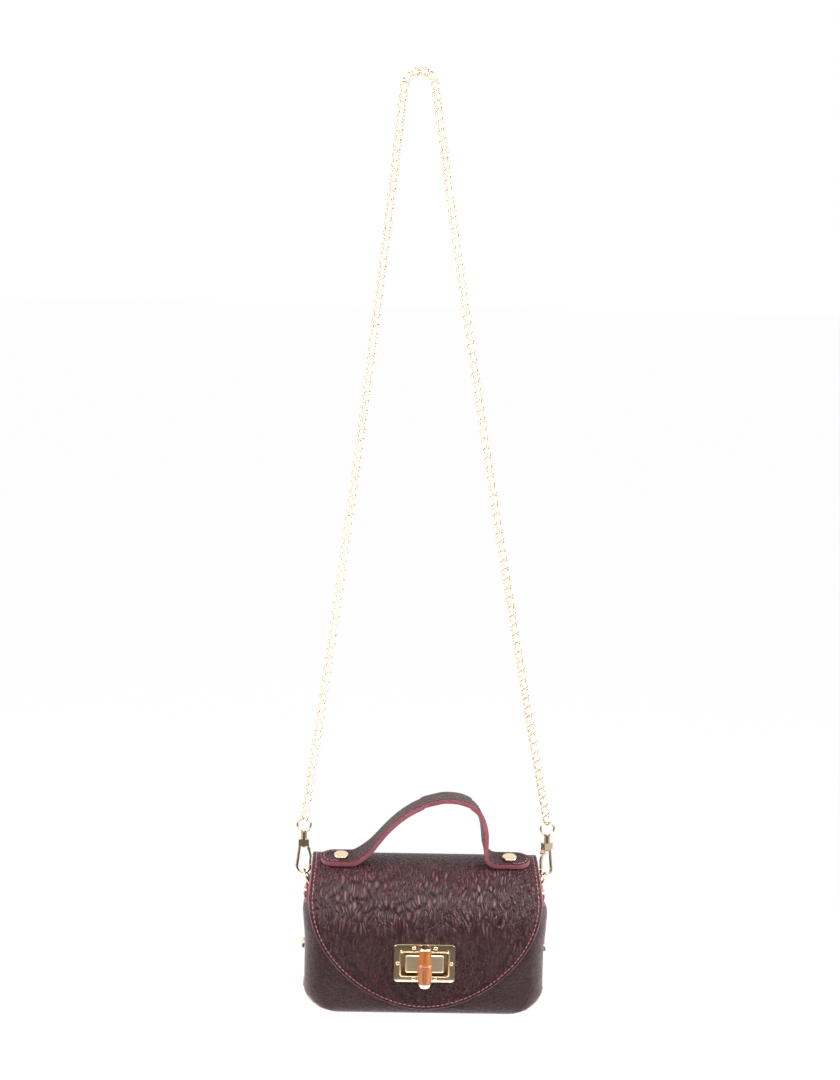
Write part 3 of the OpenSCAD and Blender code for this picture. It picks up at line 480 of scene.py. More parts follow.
def hide(name, face, back, keep=None, skin=None, rim=None, drawn=None, finishes=(calf, raw_edge, flesh_side)):
    """A piece of leather from two grids of points in millimetres, its grain side and its flesh side.
    Kept cells get a face on each side, and each edge that only one kept cell has gets a strip of raw
    edge between the two grids: a bevel at the grain side and a little belly. The UV map follows the skin."""
    rows, columns = face.shape[:2]
    faces = cells(rows, columns)
    if keep is not None:
        faces = faces[keep.ravel()]
    count = rows * columns
    sides = joined(faces, np.roll(faces, -1, 1)).reshape(-1, 2)
    pairs = np.sort(sides, 1)
    _, first, times = np.unique(pairs[:, 0] * count + pairs[:, 1], return_index=True, return_counts=True)
    border = sides[first[times == 1]]
    flat_face, flat_back = face.reshape(-1, 3).copy(), back.reshape(-1, 3)
    ends = np.unique(border)
    edge_way = np.zeros((count, 3))
    neighbour = flat_face[border[:, 1]] - flat_face[border[:, 0]]
    through = flat_face[border[:, 0]] - flat_back[border[:, 0]]
    outward = unit(np.cross(neighbour, through))
    np.add.at(edge_way, border[:, 0], outward)
    np.add.at(edge_way, border[:, 1], outward)
    edge_way = unit(edge_way)
    brow = flat_face[ends] + unit(flat_back[ends] - flat_face[ends]) * edge_brow
    belly = (flat_face[ends] + flat_back[ends]) / 2 + edge_belly * edge_way[ends]
    flat_face[ends] -= edge_bevel * edge_way[ends]
    number = np.full(count, -1)
    number[ends] = 2 * count + np.arange(len(ends))
    a, b = border[:, 0], border[:, 1]
    lower = number + len(ends)
    rim_faces = np.vstack([joined(b, a, number[a], number[b]),
                           joined(number[b], number[a], lower[a], lower[b]),
                           joined(lower[b], lower[a], a + count, b + count)])
    every = np.vstack([faces, faces[:, ::-1] + count, rim_faces])
    marks = np.repeat([0, 2, 1], [len(faces), len(faces), len(rim_faces)])
    points = np.vstack([flat_face, flat_back, brow, belly])
    used = np.unique(every)
    renumber = np.zeros(len(points), int)
    renumber[used] = np.arange(len(used))
    piece = add_mesh(name, in_bag(points[used]), renumber[every], *finishes, marks=marks, sharp=50)
    if skin is None:
        across, along = distances(face[rows // 2]), distances(face[:, columns // 2])
        skin = joined(across - across[-1] / 2, along[:, None])
    skin = skin.reshape(-1, 2) / 100
    skin = np.vstack([skin, skin, skin[ends], skin[ends]])[used]
    corners = np.zeros(len(piece.data.loops), np.int32)
    piece.data.loops.foreach_get("vertex_index", corners)
    piece.data.uv_layers.new(name="skin").data.foreach_set("uv", skin[corners].astype(np.float32).ravel())
    for label, values, standard in (("rim", rim, 9.0), ("drawn", drawn, 0.15)):
        values = np.full(count, standard) if values is None else np.asarray(values, float).ravel()
        values = np.concatenate([values, values, values[ends], values[ends]])[used].astype(np.float32)
        piece.data.attributes.new(label, "FLOAT", "POINT").data.foreach_set("value", values)
    return piece


def behind(face, thickness):
    """The flesh side: every point of a grid moved inwards along the surface's own normal."""
    along, across = np.gradient(face, axis=(0, 1))
    return face - unit(np.cross(across, along)) * thickness


def tub_half(z):
    """Half the bag's width at a height: round at the foot, straight, then flaring out to the wings' tops."""
    flare = wing_flare * between(z, flare_from, wing_top) - curl_in * between(z, curl_from, wing_top) ** 2.5
    return body_half - round_off(corner_r, corner_r - z) + flare


def tub_depth(z, wall, shoulder, centre_z):
    """The front's or back's distance at a height: round at the foot, straight, then round the shoulder."""
    return wall - np.sign(wall) * (round_off(base_r, base_r - z) + round_off(shoulder, z - centre_z))


def tub(turns, z, wall, shoulder, centre_z, start=wing_gap):
    """Half of the bag's wall on a grid. Turns run from 0 at the left wing's edge, round the upright
    corners by quarter circles, to 1 at the right wing's edge. The heights are given for each point."""
    depth = np.abs(tub_depth(z, wall, shoulder, centre_z))
    half = tub_half(z)
    r = upright_r * np.ones_like(z)
    flank = depth - r - start
    arc = np.pi / 2 * r
    width = half - r
    total = flank + arc + width
    way = np.abs(turns - 0.5) * 2 * total
    side = np.sign(turns - 0.5)
    angle = np.clip((way - width) / r, 0, np.pi / 2)
    x = np.where(way < width, way, width + r * np.sin(angle))
    past = np.clip(way - width - arc, 0, None)
    y = depth - r * (1 - np.cos(angle)) - past
    return joined(side * x, np.sign(wall) * y, z)


def foot_heights(turns):
    """Heights from the seam up to the wings' tops. The seam lies on the base at the front and climbs
    the corners to the flanks; rows are close together where the foot is round."""
    seam = seam_top * eased_between(np.abs(turns - 0.5) * 2, 0.64, 0.84)
    low_rows = corner_r * (1 - np.cos(np.linspace(0, np.pi / 2, 9)))
    rows = np.concatenate([low_rows, np.linspace(corner_r, wing_top, 22)[1:]])
    wing_edge = (0.5 - np.abs(turns - 0.5)) * 2 * 112
    top = wing_top - round_off(wing_corner, wing_corner - wing_edge)
    return seam + (top - seam) * rows[:, None] / wing_top


front_shoulder, front_centre_z = 44.8, 57
back_shoulder, back_centre_z = 28, 78
turns = np.concatenate([np.linspace(0, 0.03, 9)[:-1], np.linspace(0.03, 0.97, 107),
                        np.linspace(0.97, 1, 9)[1:]])[None, :]
heights = foot_heights(turns)
rng = np.random.default_rng(7)
panel_slack = 0.35


def slack(shape, amount, coarse):
    """Soft unevenness: a few random numbers on a coarse grid, spread by smooth interpolation."""
    rough = rng.normal(size=coarse)
    out = rough
    for axis, count in enumerate(shape):
        at = np.linspace(0, rough.shape[axis] - 1, count)
        base = np.clip(at.astype(int), 0, rough.shape[axis] - 2)
        t = eased_between(at - base, 0, 1).reshape([-1 if k == axis else 1 for k in range(2)])
        out = np.take(out, base, axis) * (1 - t) + np.take(out, base + 1, axis) * t
    return amount * out


front_face = tub(turns, heights, front_y, front_shoulder, front_centre_z)
sag = slack(front_face.shape[:2], panel_slack, (4, 7)) * between(heights, 0, 20)
front_face = front_face - (front_face - behind(front_face, 1)) * (sag[..., None] + panel_slack)
wing_distance = (0.5 - np.abs(turns - 0.5)) * 2 * 130
panel_rim = np.clip(np.minimum(wing_top - heights, wing_distance), 0, 9)
front_panel = hide("front_panel_leather", front_face, behind(front_face, leather_t), rim=panel_rim,
                   finishes=(smooth_calf, dyed_edge, flesh_side))
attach(front_panel, "bag")
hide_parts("front_panel")

back_face = tub(turns, heights, back_y, back_shoulder, back_centre_z)[:, ::-1]
back_panel = hide("back_panel_leather", back_face, behind(back_face, leather_t), rim=panel_rim,
                  finishes=(smooth_calf, dyed_edge, flesh_side))
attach(back_panel, "bag")
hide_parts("back_panel")

# The base is one piece of leather whose ends turn up into the flanks. Its edges are tucked behind the
# front and back panels, so it stands flush in the middle and steps in by a leather's thickness there.
base_reach = 33.4
base_flat = 30.8
flank_top = 18
tuck_from = 22
tuck_full = 29
flat_half = body_half - corner_r
upright_start = 24.8
path_turn = np.linspace(0, np.pi / 2, 12)
end_x = body_half - corner_r * (1 - np.sin(path_turn))
end_z = corner_r * (1 - np.cos(path_turn))
path_x = np.concatenate([-end_x[::-1], np.linspace(-flat_half, flat_half, 30)[1:-1], end_x])
path_z = np.concatenate([end_z[::-1], np.zeros(28), end_z])
out_x = np.sign(path_x) * np.clip((np.abs(path_x) - flat_half) / corner_r, 0, 1)
out_z = -np.sqrt(1 - out_x ** 2)


def base_sheet(inset):
    """The base at a depth behind its outer face: the outline's path across X, carried along Y."""
    y = np.linspace(-base_reach, base_reach, 34)[:, None]
    edge = inset + (leather_t + 0.1) * eased_between(np.abs(y), tuck_from, tuck_full)
    lift = round_off(base_r, np.abs(y) - base_flat)
    corner = round_off(upright_r, np.abs(y) - upright_start)
    x = path_x - out_x * edge - np.sign(path_x) * corner * np.abs(out_x)
    z = path_z - out_z * edge - out_z * lift
    return joined(x, y, z)


base = hide("base_leather", base_sheet(0)[:, ::-1], base_sheet(leather_t)[:, ::-1],
            finishes=(smooth_calf, raw_edge, flesh_side))
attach(base, "bag")
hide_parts("base_panel")

board_finish = raw_finish("stiff_board", (0.2, 0.14, 0.1, 1), (0.13, 0.09, 0.07, 1), 500)
refinish(board_finish, "base_board")

# A gusset of rosy split leather closes each end inside the wings. It is soft, hollows a little between
# the rivets, and rounds in with the bag's upright corners.
gusset_face = 84.2
gusset_t = 1.6
gusset_top = 86.2
gusset_front = -30.8
gusset_back = 30
gusset_corner_r = 10.1
gusset_corner_x = 84.05
circle_y = 8
hollow_depth = 0.9


def gusset_sheet(side, inset):
    """One gusset on rows of height, each row from the front curve to the back curve. A bell curve hollows
    it, and near the upright corners it stays behind their quarter circles."""
    z = np.linspace(flank_top + 0.1, gusset_top, 30)[:, None]
    u = np.linspace(0, 1, 25)[None, :]
    first = gusset_front + round_off(circle_y - gusset_front, z - front_centre_z)
    last = gusset_back - round_off(gusset_back - circle_y, z - back_centre_z)
    y = first + (last - first) * u
    rise = (z - flank_top) / (gusset_top - flank_top)
    hollow = hollow_depth * np.sin(np.pi * np.clip(rise * 1.1, 0, 1)) ** 2 * np.exp(-(y / 6) ** 2)
    turned_in = np.where(y < 0, -y - upright_start, y - back_y + upright_r)
    x = np.minimum(gusset_face - hollow, gusset_corner_x - round_off(gusset_corner_r, turned_in)) - inset
    sheet = joined(side * x, y, z)
    return sheet if side > 0 else sheet[:, ::-1]


for side, name in ((-1, "left_gusset"), (1, "right_gusset")):
    gusset = hide(name + "_leather", gusset_sheet(side, 0), gusset_sheet(side, gusset_t),
                  finishes=(flesh_side, raw_edge, flesh_side))
    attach(gusset, "bag")
    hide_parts(name)

# Stitches are waxed rosy thread, 3.4 mm apart, each lying on the leather with both ends drawn in. The
# first rows run along the foot of the front and back panels, just above the seam with the base.
rose = (0.34, 0.09, 0.115, 1)
thread, thread_shader = plain_finish("rosy_thread", rose, 0.6, Sheen_Weight=0.3)
strands = noise(thread, object_place(thread), 2600)
emboss(thread, thread_shader, strands, 0.5, 0.0001)
strand_mix = mix_colours(thread, 1.0, rose, ramp(thread, strands, 0, 1, 0.75, 1.2), "MULTIPLY")
link_to(thread, thread_shader.inputs["Base Color"], strand_mix)


def follow(at, far, values):
    """Values that belong to a path's points, read off at other distances along it."""
    return joined(*(np.interp(at, far, column) for column in values.T))


def sew(name, path, normal, body, pitch=3.4, length=2.4, width=0.52):
    """Puts a stitch at even distances along a path on the leather. One stitch is a square tube of four
    rings, thin at its ends and standing proud in the middle."""
    far = distances(path)
    count = int(far[-1] // pitch)
    at = (np.arange(count) + 0.5) * far[-1] / count
    place, up = follow(at, far, path), follow(at, far, normal)
    way = unit(follow(at + 0.3, far, path) - follow(at - 0.3, far, path))
    up = unit(up - (up * way).sum(1, keepdims=True) * way)
    beside = np.cross(way, up)
    t = np.repeat([-0.5, -0.32, 0.32, 0.5], 4) * length
    size = np.repeat([0.45, 1, 1, 0.45], 4) * width / 2
    across = np.tile([1, 0, -1, 0], 4) * size
    height = np.tile([0, 1, 0, -1], 4) * size * 0.8 + np.repeat([-0.12, 0.16, 0.16, -0.12], 4)
    points = (place[:, None] + t[:, None] * way[:, None] + across[:, None] * beside[:, None]
              + height[:, None] * up[:, None])
    one = np.vstack([cells(4, 4, False, True)[:, ::-1], [[0, 1, 2, 3], [15, 14, 13, 12]]])
    row = add_mesh(name, in_bag(points), copies(one, count, 16), thread, sharp=180)
    if body:
        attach(row, body)
    return row


seam_lift = 2.3
lift_heights = foot_heights(turns)[0] + seam_lift
for name, wall, shoulder, centre in (("front", front_y, front_shoulder, front_centre_z),
                                     ("back", back_y, back_shoulder, back_centre_z)):
    strip = tub(turns, np.stack([lift_heights, lift_heights + 1]), wall, shoulder, centre)
    if wall > 0:
        strip = strip[:, ::-1]
    sew(name + "_base_stitches", strip[0], (strip - behind(strip, 1))[0], "bag")

# The top strip and the flap are one skin, from its lap on the back panel over the top and the fold to
# the flap's round front edge. The flap has a lining of rosy split leather.
lap_z = 66
top_half = 81
flap_half = 83
flap_side_z = 84
flap_low_z = 6
edge_power = 1.85
lock_z = 40.5
hole_half = 17.2
hole_rise = 9.4
back_run = back_centre_z - lap_z
back_arc = back_shoulder * np.pi / 2
front_radius = 49
front_arc = front_radius * np.pi / 2
wall_start = back_run + back_arc + front_arc
bag_top = 106
fold_z = 97.21
wave_numbers = rng.uniform(-1, 1, (5, 3))


def skin_path(s, inset):
    """The middle line's side view at a distance from the lap: up the back, round the small back circle,
    round the large front circle and down the front wall. Returns depth and height."""
    back_turn = np.clip((s - back_run) / back_shoulder, 0, np.pi / 2)
    front_turn = np.clip((s - back_run - back_arc) / front_radius, 0, np.pi / 2)
    lap = 1.9 * (1 - between(s, back_run, back_run + 12)) ** 2
    back_r = back_shoulder - inset + lap
    front_r = front_radius - inset
    y_back = circle_y + back_r * np.cos(back_turn)
    z_back = back_centre_z + back_r * np.sin(back_turn) - np.clip(back_run - s, 0, None)
    y_front = circle_y - front_r * np.sin(front_turn)
    z_front = front_centre_z + front_r * np.cos(front_turn) - np.clip(s - wall_start, 0, None)
    on_back = s < back_run + back_arc
    return np.where(on_back, y_back, y_front), np.where(on_back, z_back, z_front)


def front_distance(z):
    """The distance along the skin at which its front reaches a height."""
    rise = z - front_centre_z
    turn = np.arccos(np.clip(rise / front_radius, 0, 1))
    return back_run + back_arc + np.where(rise > 0, front_radius * turn, front_arc - rise)


hole_turn = np.arcsin((hole_half / flap_half) ** (edge_power / 2))
edge_turn = np.concatenate([np.linspace(0, hole_turn, 8), np.linspace(hole_turn, np.pi / 2, 46)[1:]])
edge_u = np.sin(edge_turn) ** (2 / edge_power)
edge_z = flap_side_z - (flap_side_z - flap_low_z) * np.clip(np.cos(edge_turn), 0, 1) ** (2 / edge_power)
edge_u = np.concatenate([-edge_u[:0:-1], edge_u])[::-1]
edge_z = np.concatenate([edge_z[:0:-1], edge_z])[::-1]
edge_s = front_distance(edge_z)
past_lock = between(np.abs(edge_u), 0.22, 0.52)


def skin_rows(above_lock, first=0.0):
    """Distances along the skin for every column. Beside the lock the rows are level, so that its opening
    has straight sides, and towards the ends they keep the middle column's shares."""
    lock_s = front_distance(np.array([lock_z + hole_rise, lock_z - hole_rise]))
    share = edge_s / edge_s[len(edge_s) // 2]
    level = eased_between(past_lock, 0, 1)
    lock_top, lock_foot = (s * (share * level + 1 - level) for s in lock_s)
    above = first + (lock_top - first) * above_lock[:, None]
    beside = lock_top + (lock_foot - lock_top) * np.linspace(0, 1, 9)[1:, None]
    below = lock_foot + (edge_s - lock_foot) * np.linspace(0, 1, 16)[1:, None]
    return np.vstack([above, beside, below])


def ripple(x, s):
    """The flap's soft unevenness: a sum of five slow waves across and along it, none near fold and lock."""
    waves = wave_numbers[:, :, None, None] * np.ones((1, 1) + x.shape)
    total = np.sin(waves[:, 0] * x / 9 + waves[:, 1] * s / 9 + waves[:, 2] * 20).sum(0)
    clear = between(s, 92, 112) * np.clip(np.hypot(x, (s - 150) * 1.4) / 18 - 1.4, 0, 1)
    return 0.12 * total * clear


def skin_grid(s, inset, trim=0):
    """Points of the skin: each column keeps its share of the half width, which grows down the flap."""
    y, z = skin_path(s, inset - ripple(edge_u * flap_half + 0 * s, s))
    grow = np.clip((bag_top - z) / (bag_top - flap_side_z), 0, 1) * (s > back_run + back_arc)
    half = top_half + (flap_half - top_half) * grow - trim
    x = edge_u * (flap_half + (half - flap_half) * past_lock)
    return joined(x, y, z)


def edge_distance(x, s, bounds):
    """Distance on the flat skin from every point to the nearest point of its edge."""
    near = np.full(x.shape, 9.0)
    for first in range(0, len(bounds), 60):
        part = bounds[first:first + 60]
        away = np.hypot(x[..., None] - part[:, 0], s[..., None] - part[:, 1]).min(-1)
        near = np.minimum(near, away)
    return near


def round_hole(rows, first_row):
    """Which cells to keep: all but those in the lock's opening."""
    row = np.arange(rows - 1)[:, None]
    column = (edge_u[:-1] + edge_u[1:])[None, :] / 2 * flap_half
    return ~((row >= first_row) & (row < first_row + 8) & (np.abs(column) < hole_half))


fold_s = front_distance(fold_z)
upper = np.concatenate([np.linspace(0, 0.52, 30), np.linspace(0.52, 0.7, 22)[1:],
                        np.linspace(0.7, 1, 18)[1:]])
rows_s = skin_rows(upper)
grid = skin_grid(rows_s, 0)
fine = np.linspace(0, 1, 400)
shares = np.linspace(0, 1, len(edge_u))
side_run = front_distance(flap_side_z)
edge_line = joined(np.interp(fine, shares, edge_u * flap_half), np.interp(fine, shares, edge_s))
side_line = joined(np.interp(fine, [0, 0.55, 1], [top_half, top_half, flap_half]), fine * side_run)
bounds = np.vstack([edge_line, side_line, side_line * [-1, 1]])
rim = edge_distance(grid[..., 0], rows_s, bounds)
drawn = between(rows_s, 60, 88) * np.clip((165 - rows_s) / 45, 0.12, 1)
flap = hide("top_and_flap_leather", grid, behind(grid, leather_t), round_hole(len(rows_s), len(upper) - 1),
            joined(grid[..., 0], rows_s), rim, drawn)
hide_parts("flap_leather")
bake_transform(flap)

lining_from_fold = 9
lining_gap = 0.02
lining_t = 1.18
lining_rows = 30
lining_s = skin_rows(np.linspace(0, 1, lining_rows), fold_s + lining_from_fold)
lining_grid = skin_grid(lining_s, leather_t + lining_gap, lining_gap)
lining = hide("flap_lining_leather", lining_grid, behind(lining_grid, lining_t),
              round_hole(len(lining_s), lining_rows - 1), joined(lining_grid[..., 0], lining_s),
              finishes=(flesh_side, raw_edge, flesh_side))
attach(lining, "flap")
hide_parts("flap_lining")

# The flap's stitches run from the back lap along both sides and round its curved edge, 2.3 mm inside.
# A straight row across the back holds the lap.
stitch_in = 2.3
row_start = 14
lap_row_s = 2.6
flap_middle = (0, 120)


def on_skin(x, s):
    """Points and outward normals of the skin at distances across and along it."""
    x, s = x[None], s[None]
    lift = ripple(x, s)
    y, z = skin_path(s, -lift)
    y_far, z_far = skin_path(s, -lift - 1)
    return joined(x, y, z)[0], joined(0 * x, y_far - y, z_far - z)[0]


way = unit(np.gradient(edge_line, axis=0))
inward = joined(way[:, 1], -way[:, 0])
inward *= np.sign((inward * (flap_middle - edge_line)).sum(1, keepdims=True))
curve = edge_line + stitch_in * inward
curve = curve[curve[:, 1] > side_run + 1]
down = np.linspace(row_start, side_run, 60)
half_at = top_half + (flap_half - top_half) * between(down, 70, side_run) - stitch_in
first_side = np.sign(curve[0, 0])
line = np.vstack([joined(first_side * half_at, down), curve,
                  joined(-first_side * half_at, down)[::-1]])
path, normal = on_skin(line[:, 0], line[:, 1])
flap_row = sew("flap_stitches", path, normal, None)
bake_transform(flap_row)
lap_line = np.linspace(-top_half + 4, top_half - 4, 80)
path, normal = on_skin(lap_line, np.full(80, lap_row_s))
sew("lap_stitches", path, normal, "bag")

# The handle is a strap of two leathers glued back to back, 19 mm wide and 3.4 mm thick. Its grain sides
# show above and below and its cut edge is raw. Two gilt rivets hold its round ends flat on the top.
handle_span = 121.6
handle_rise = 45.8
handle_half_w = 9.5
handle_t = 3.4
handle_tip = 14.5
handle_y = -4
seat_tilt = np.arcsin(12 / front_radius)
seat_z = bag_top - front_radius * (1 - np.cos(seat_tilt))
arch_tilt = np.radians(3)
leg_twist = np.radians(6)
handle_shares = np.array([
    (-0.5, 0), (-0.455, 0), (-0.415, 0.018), (-0.357, 0.12), (-0.312, 0.224), (-0.269, 0.379),
    (-0.211, 0.548), (-0.152, 0.69), (-0.052, 0.879), (0.07, 0.982), (0.137, 1), (0.206, 0.975),
    (0.28, 0.886), (0.327, 0.726), (0.348, 0.516), (0.352, 0.32), (0.355, 0.167), (0.378, 0.053),
    (0.41, 0.006), (0.455, 0), (0.5, 0)])


def smooth_line(points, steps):
    """A smooth curve through points: each span is a cubic from its two ends and their neighbours."""
    padded = np.vstack([points[:1], points, points[-1:]])
    a, b, c, d = (padded[k:len(points) - 1 + k, None] for k in range(4))
    t = (np.arange(steps) / steps)[None, :, None]
    square, cube = 2 * a - 5 * b + 4 * c - d, 3 * b - a - 3 * c + d
    curve = 0.5 * (2 * b + (c - a) * t + square * t ** 2 + cube * t ** 3)
    return np.vstack([curve.reshape(-1, points.shape[1]), points[-1:]])


middle = smooth_line(handle_shares * [handle_span, handle_rise], 7)
eased = sum(middle[k:len(middle) - 12 + k] for k in range(13)) / 13
lifted = (eased[:, 1:] > 0.12 * handle_rise) & (eased[:, 1:] < 0.9 * handle_rise)
middle[6:-6] = np.where(lifted, eased, middle[6:-6])
middle[:, 1] = np.clip(middle[:, 1], 0, None)
tip_turn = np.radians(np.linspace(7, 90, 13))
tip_x = handle_span / 2 + handle_tip - handle_half_w * (1 - np.cos(tip_turn))
tip_half = handle_half_w * np.sin(tip_turn)
flat_x = tip_x[-1:] - 2
run_x = np.concatenate([-tip_x, -flat_x, middle[:, 0], flat_x, tip_x[::-1]])
run_z = np.concatenate([0 * tip_x, [0], middle[:, 1], [0], 0 * tip_x])
run_half = np.concatenate([tip_half, np.full(len(middle) + 2, handle_half_w), tip_half[::-1]])
ahead = unit(joined(np.gradient(run_x), 0 * run_x, np.gradient(run_z)))
raised = eased_between(run_z, 0, handle_rise / 2)
tilt = seat_tilt + (arch_tilt - seat_tilt) * raised
twist = leg_twist * raised * between(run_x, 25, 37)
beside = joined(-np.sin(twist) * np.cos(tilt), np.cos(twist) * np.cos(tilt), np.sin(tilt))
beside = unit(beside - (beside * ahead).sum(1, keepdims=True) * ahead)
upward = np.cross(ahead, beside)
seat_lift = handle_t / 2 + 0.02
centre = joined(run_x, handle_y - seat_lift * np.sin(seat_tilt) + 0 * run_x,
                seat_z + seat_lift * np.cos(seat_tilt) + run_z)
over = np.array([1, 0.985, 0.94, 0.84, 0.6, 0.3, 0, -0.3, -0.6, -0.84, -0.94, -0.985, -1])
fall = np.array([0.12, 0.06, 0.02, 0, 0, 0, 0, 0, 0, 0, 0.02, 0.06, 0.12])


def handle_side(up):
    """The strap's upper or lower grain side: across it the surface is flat and rounds off at both edges."""
    height = up * (handle_t / 2 - fall)
    return (centre[:, None] + over[None, :, None] * run_half[:, None, None] * beside[:, None]
            + height[None, :, None] * upward[:, None])


far = distances(centre)
handle_uv = joined(over * handle_half_w, far[:, None] + 300)
handle_rim = np.minimum((1 - np.abs(over))[None, :] * run_half[:, None],
                        np.minimum(far, far[-1] - far)[:, None]) + 0.9
handle_drawn = np.broadcast_to(0.5 * raised[:, None], handle_rim.shape)
handle = hide("handle_leather", handle_side(1), handle_side(-1), None, handle_uv, handle_rim, handle_drawn,
              finishes=(calf, raw_edge, calf))
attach(handle, "bag")
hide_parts("handle_strap")


def on_seat(points):
    """Takes points from the handle's seat, with +Z square to the bag's top, to the bag's own millimetres."""
    x, y, z = np.moveaxis(np.asarray(points, float), -1, 0)
    return joined(x, handle_y + y * np.cos(seat_tilt) - z * np.sin(seat_tilt),
                  seat_z + y * np.sin(seat_tilt) + z * np.cos(seat_tilt))


tip_middle = handle_span / 2 + handle_tip - handle_half_w
row_r = handle_half_w - 2
for side, name in ((-1, "left"), (1, "right")):
    turn = np.radians(np.linspace(-118, 118, 40))
    tip_line = joined(side * (tip_middle + row_r * np.cos(turn)), row_r * np.sin(turn),
                      np.full(40, handle_t + 0.03))
    upright = np.tile([0, -np.sin(seat_tilt), np.cos(seat_tilt)], (40, 1))
    sew(name + "_handle_stitches", on_seat(tip_line), upright, "bag")


def turned(profile, steps):
    """Carries a profile of (radius, height) pairs round +Z. Returns a grid of points, closed round."""
    turn = whole_turn(steps)
    radius, height = np.array(profile).T[:, :, None]
    return joined(radius * np.cos(turn), radius * np.sin(turn), height)


cap_profile = [(1.4, -0.3), (4.9, -0.3), (5.2, 0.1), (5.25, 0.5), (5.25, 1.15), (5.05, 1.5), (4.65, 1.72),
               (4.2, 1.8), (3, 1.86), (1.5, 1.9), (0.02, 1.9)]
cap = turned(cap_profile, 48)
caps = np.stack([on_seat(cap + [side * handle_span / 2, 0, handle_t + 0.05]) for side in (-1, 1)])
cap_faces = copies(round_cells(cap), 2, cap[..., 0].size)
rivets = add_mesh("handle_rivet_caps", in_bag(caps), cap_faces, gilt)
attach(rivets, "bag")
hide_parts("handle_rivets")

# A folded tab of the same leather carries each D-ring: it comes up outside the gusset, goes round the
# ring's straight bar and down inside, and the upper side rivet holds both legs.
gusset_mid = 83.38
ring_bar_z = 87.8
tab_foot = 71.85
tab_half_w = 5.7
tab_inner = 0.83
tab_outer = 2.23


def tab_sheet(side, radius):
    """One side of the folded tab: up the inner leg, round half a circle over the bar, down the outer leg."""
    leg = np.linspace(tab_foot, ring_bar_z, 12)
    turn = np.linspace(np.pi, 0, 13)[1:-1]
    x = np.concatenate([np.full(12, -radius), radius * np.cos(turn), np.full(12, radius)])
    z = np.concatenate([leg, ring_bar_z + radius * np.sin(turn), leg[::-1]])
    y = np.linspace(tab_half_w, -tab_half_w, 9) * side
    soft = 1 - 0.25 * round_off(1, 1 - between(z, tab_foot, tab_foot + 3))
    return joined(side * (gusset_mid + x[:, None]), y * soft[:, None], z[:, None])


for side, name in ((-1, "left_ring_tab"), (1, "right_ring_tab")):
    tab = hide(name + "_leather", tab_sheet(side, tab_outer), tab_sheet(side, tab_inner),
               finishes=(calf, raw_edge, flesh_side))
    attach(tab, "bag")
    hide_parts(name)

# The lock is one unit pinned through the flap: a gilt frame plate with a raised lip round its slot, six
# pins with round heads, and a bevelled block in the slot, whose flat is brushed sideways.
lock_face = -41


def on_lock(points):
    """Takes points from the lock's frame, with +Z out of the flap and +Y up, to the bag's millimetres."""
    x, y, z = np.moveaxis(np.asarray(points, float), -1, 0)
    return joined(x, lock_face - z, lock_z + y)


outline_count = 28


def rounded_outline(width, height, radius):
    """A rectangle with round corners, counter-clockwise, with the same number of points for any size."""
    turn = np.linspace(0, np.pi / 2, outline_count // 4)
    arc = joined(np.cos(turn), np.sin(turn)) * radius
    w, h = width / 2 - radius, height / 2 - radius
    spin = [((1, 0), (0, 1)), ((0, -1), (1, 0)), ((-1, 0), (0, -1)), ((0, 1), (-1, 0))]
    places = [(w, h), (-w, h), (-w, -h), (w, -h)]
    return np.vstack([arc @ np.array(matrix).T + place for matrix, place in zip(spin, places)])


def plate_rings(sizes):
    """A stack of rounded rectangles, given as (width, height, radius, level), as a grid of points."""
    return np.stack([np.hstack([rounded_outline(w, h, r), np.full((outline_count, 1), z)])
                     for w, h, r, z in sizes])


brushed, brushed_shader = plain_finish("brushed_gilt", (0.85, 0.68, 0.42, 1), 0.3, Metallic=1)
hairs = noise(brushed, stretched(brushed, object_place(brushed), 60, 60, 5200), 1, 3)
hair_tone = mix_colours(brushed, hairs, (0.66, 0.53, 0.36, 1), (0.97, 0.84, 0.62, 1))
link_to(brushed, brushed_shader.inputs["Base Color"], hair_tone)
emboss(brushed, brushed_shader, hairs, 0.35, 0.00006)

slot_w, slot_h = 32.4, 16.8
lip_rings = [(0, 0.75, -1.5), (0, 0.75, 3.2), (0.3, 0.9, 3.42), (0.8, 1.2, 3.5), (1.3, 1.4, 3.42),
             (1.6, 1.5, 3.2), (1.6, 1.5, 1.2), (2.2, 1.8, 1.05), (2.8, 2.1, 1.3), (3.1, 2.2, 1.42)]
under_rings = [(1.6, 1.5, 0.02), (1.6, 1.5, -1.5)]
rim_sizes = [(42.3, 26.3, 2.2, 1.42), (43.1, 27.1, 2.6, 1.3), (43.8, 27.8, 2.9, 0.8), (44, 28, 3, 0.5),
             (44, 28, 3, 0.02)]
lip_sizes, under_sizes = ([(slot_w + more, slot_h + more, radius, level) for more, radius, level in rings]
                          for rings in (lip_rings, under_rings))
frame_sizes = lip_sizes + rim_sizes + under_sizes
plate = plate_rings(frame_sizes)
plate_cells = cells(*plate.shape[:2], True, True)[:, ::-1]
lock_frame = add_mesh("lock_frame_plate", in_bag(on_lock(plate)), plate_cells, gilt, sharp=35)
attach(lock_frame, "flap")
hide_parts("lock_frame")

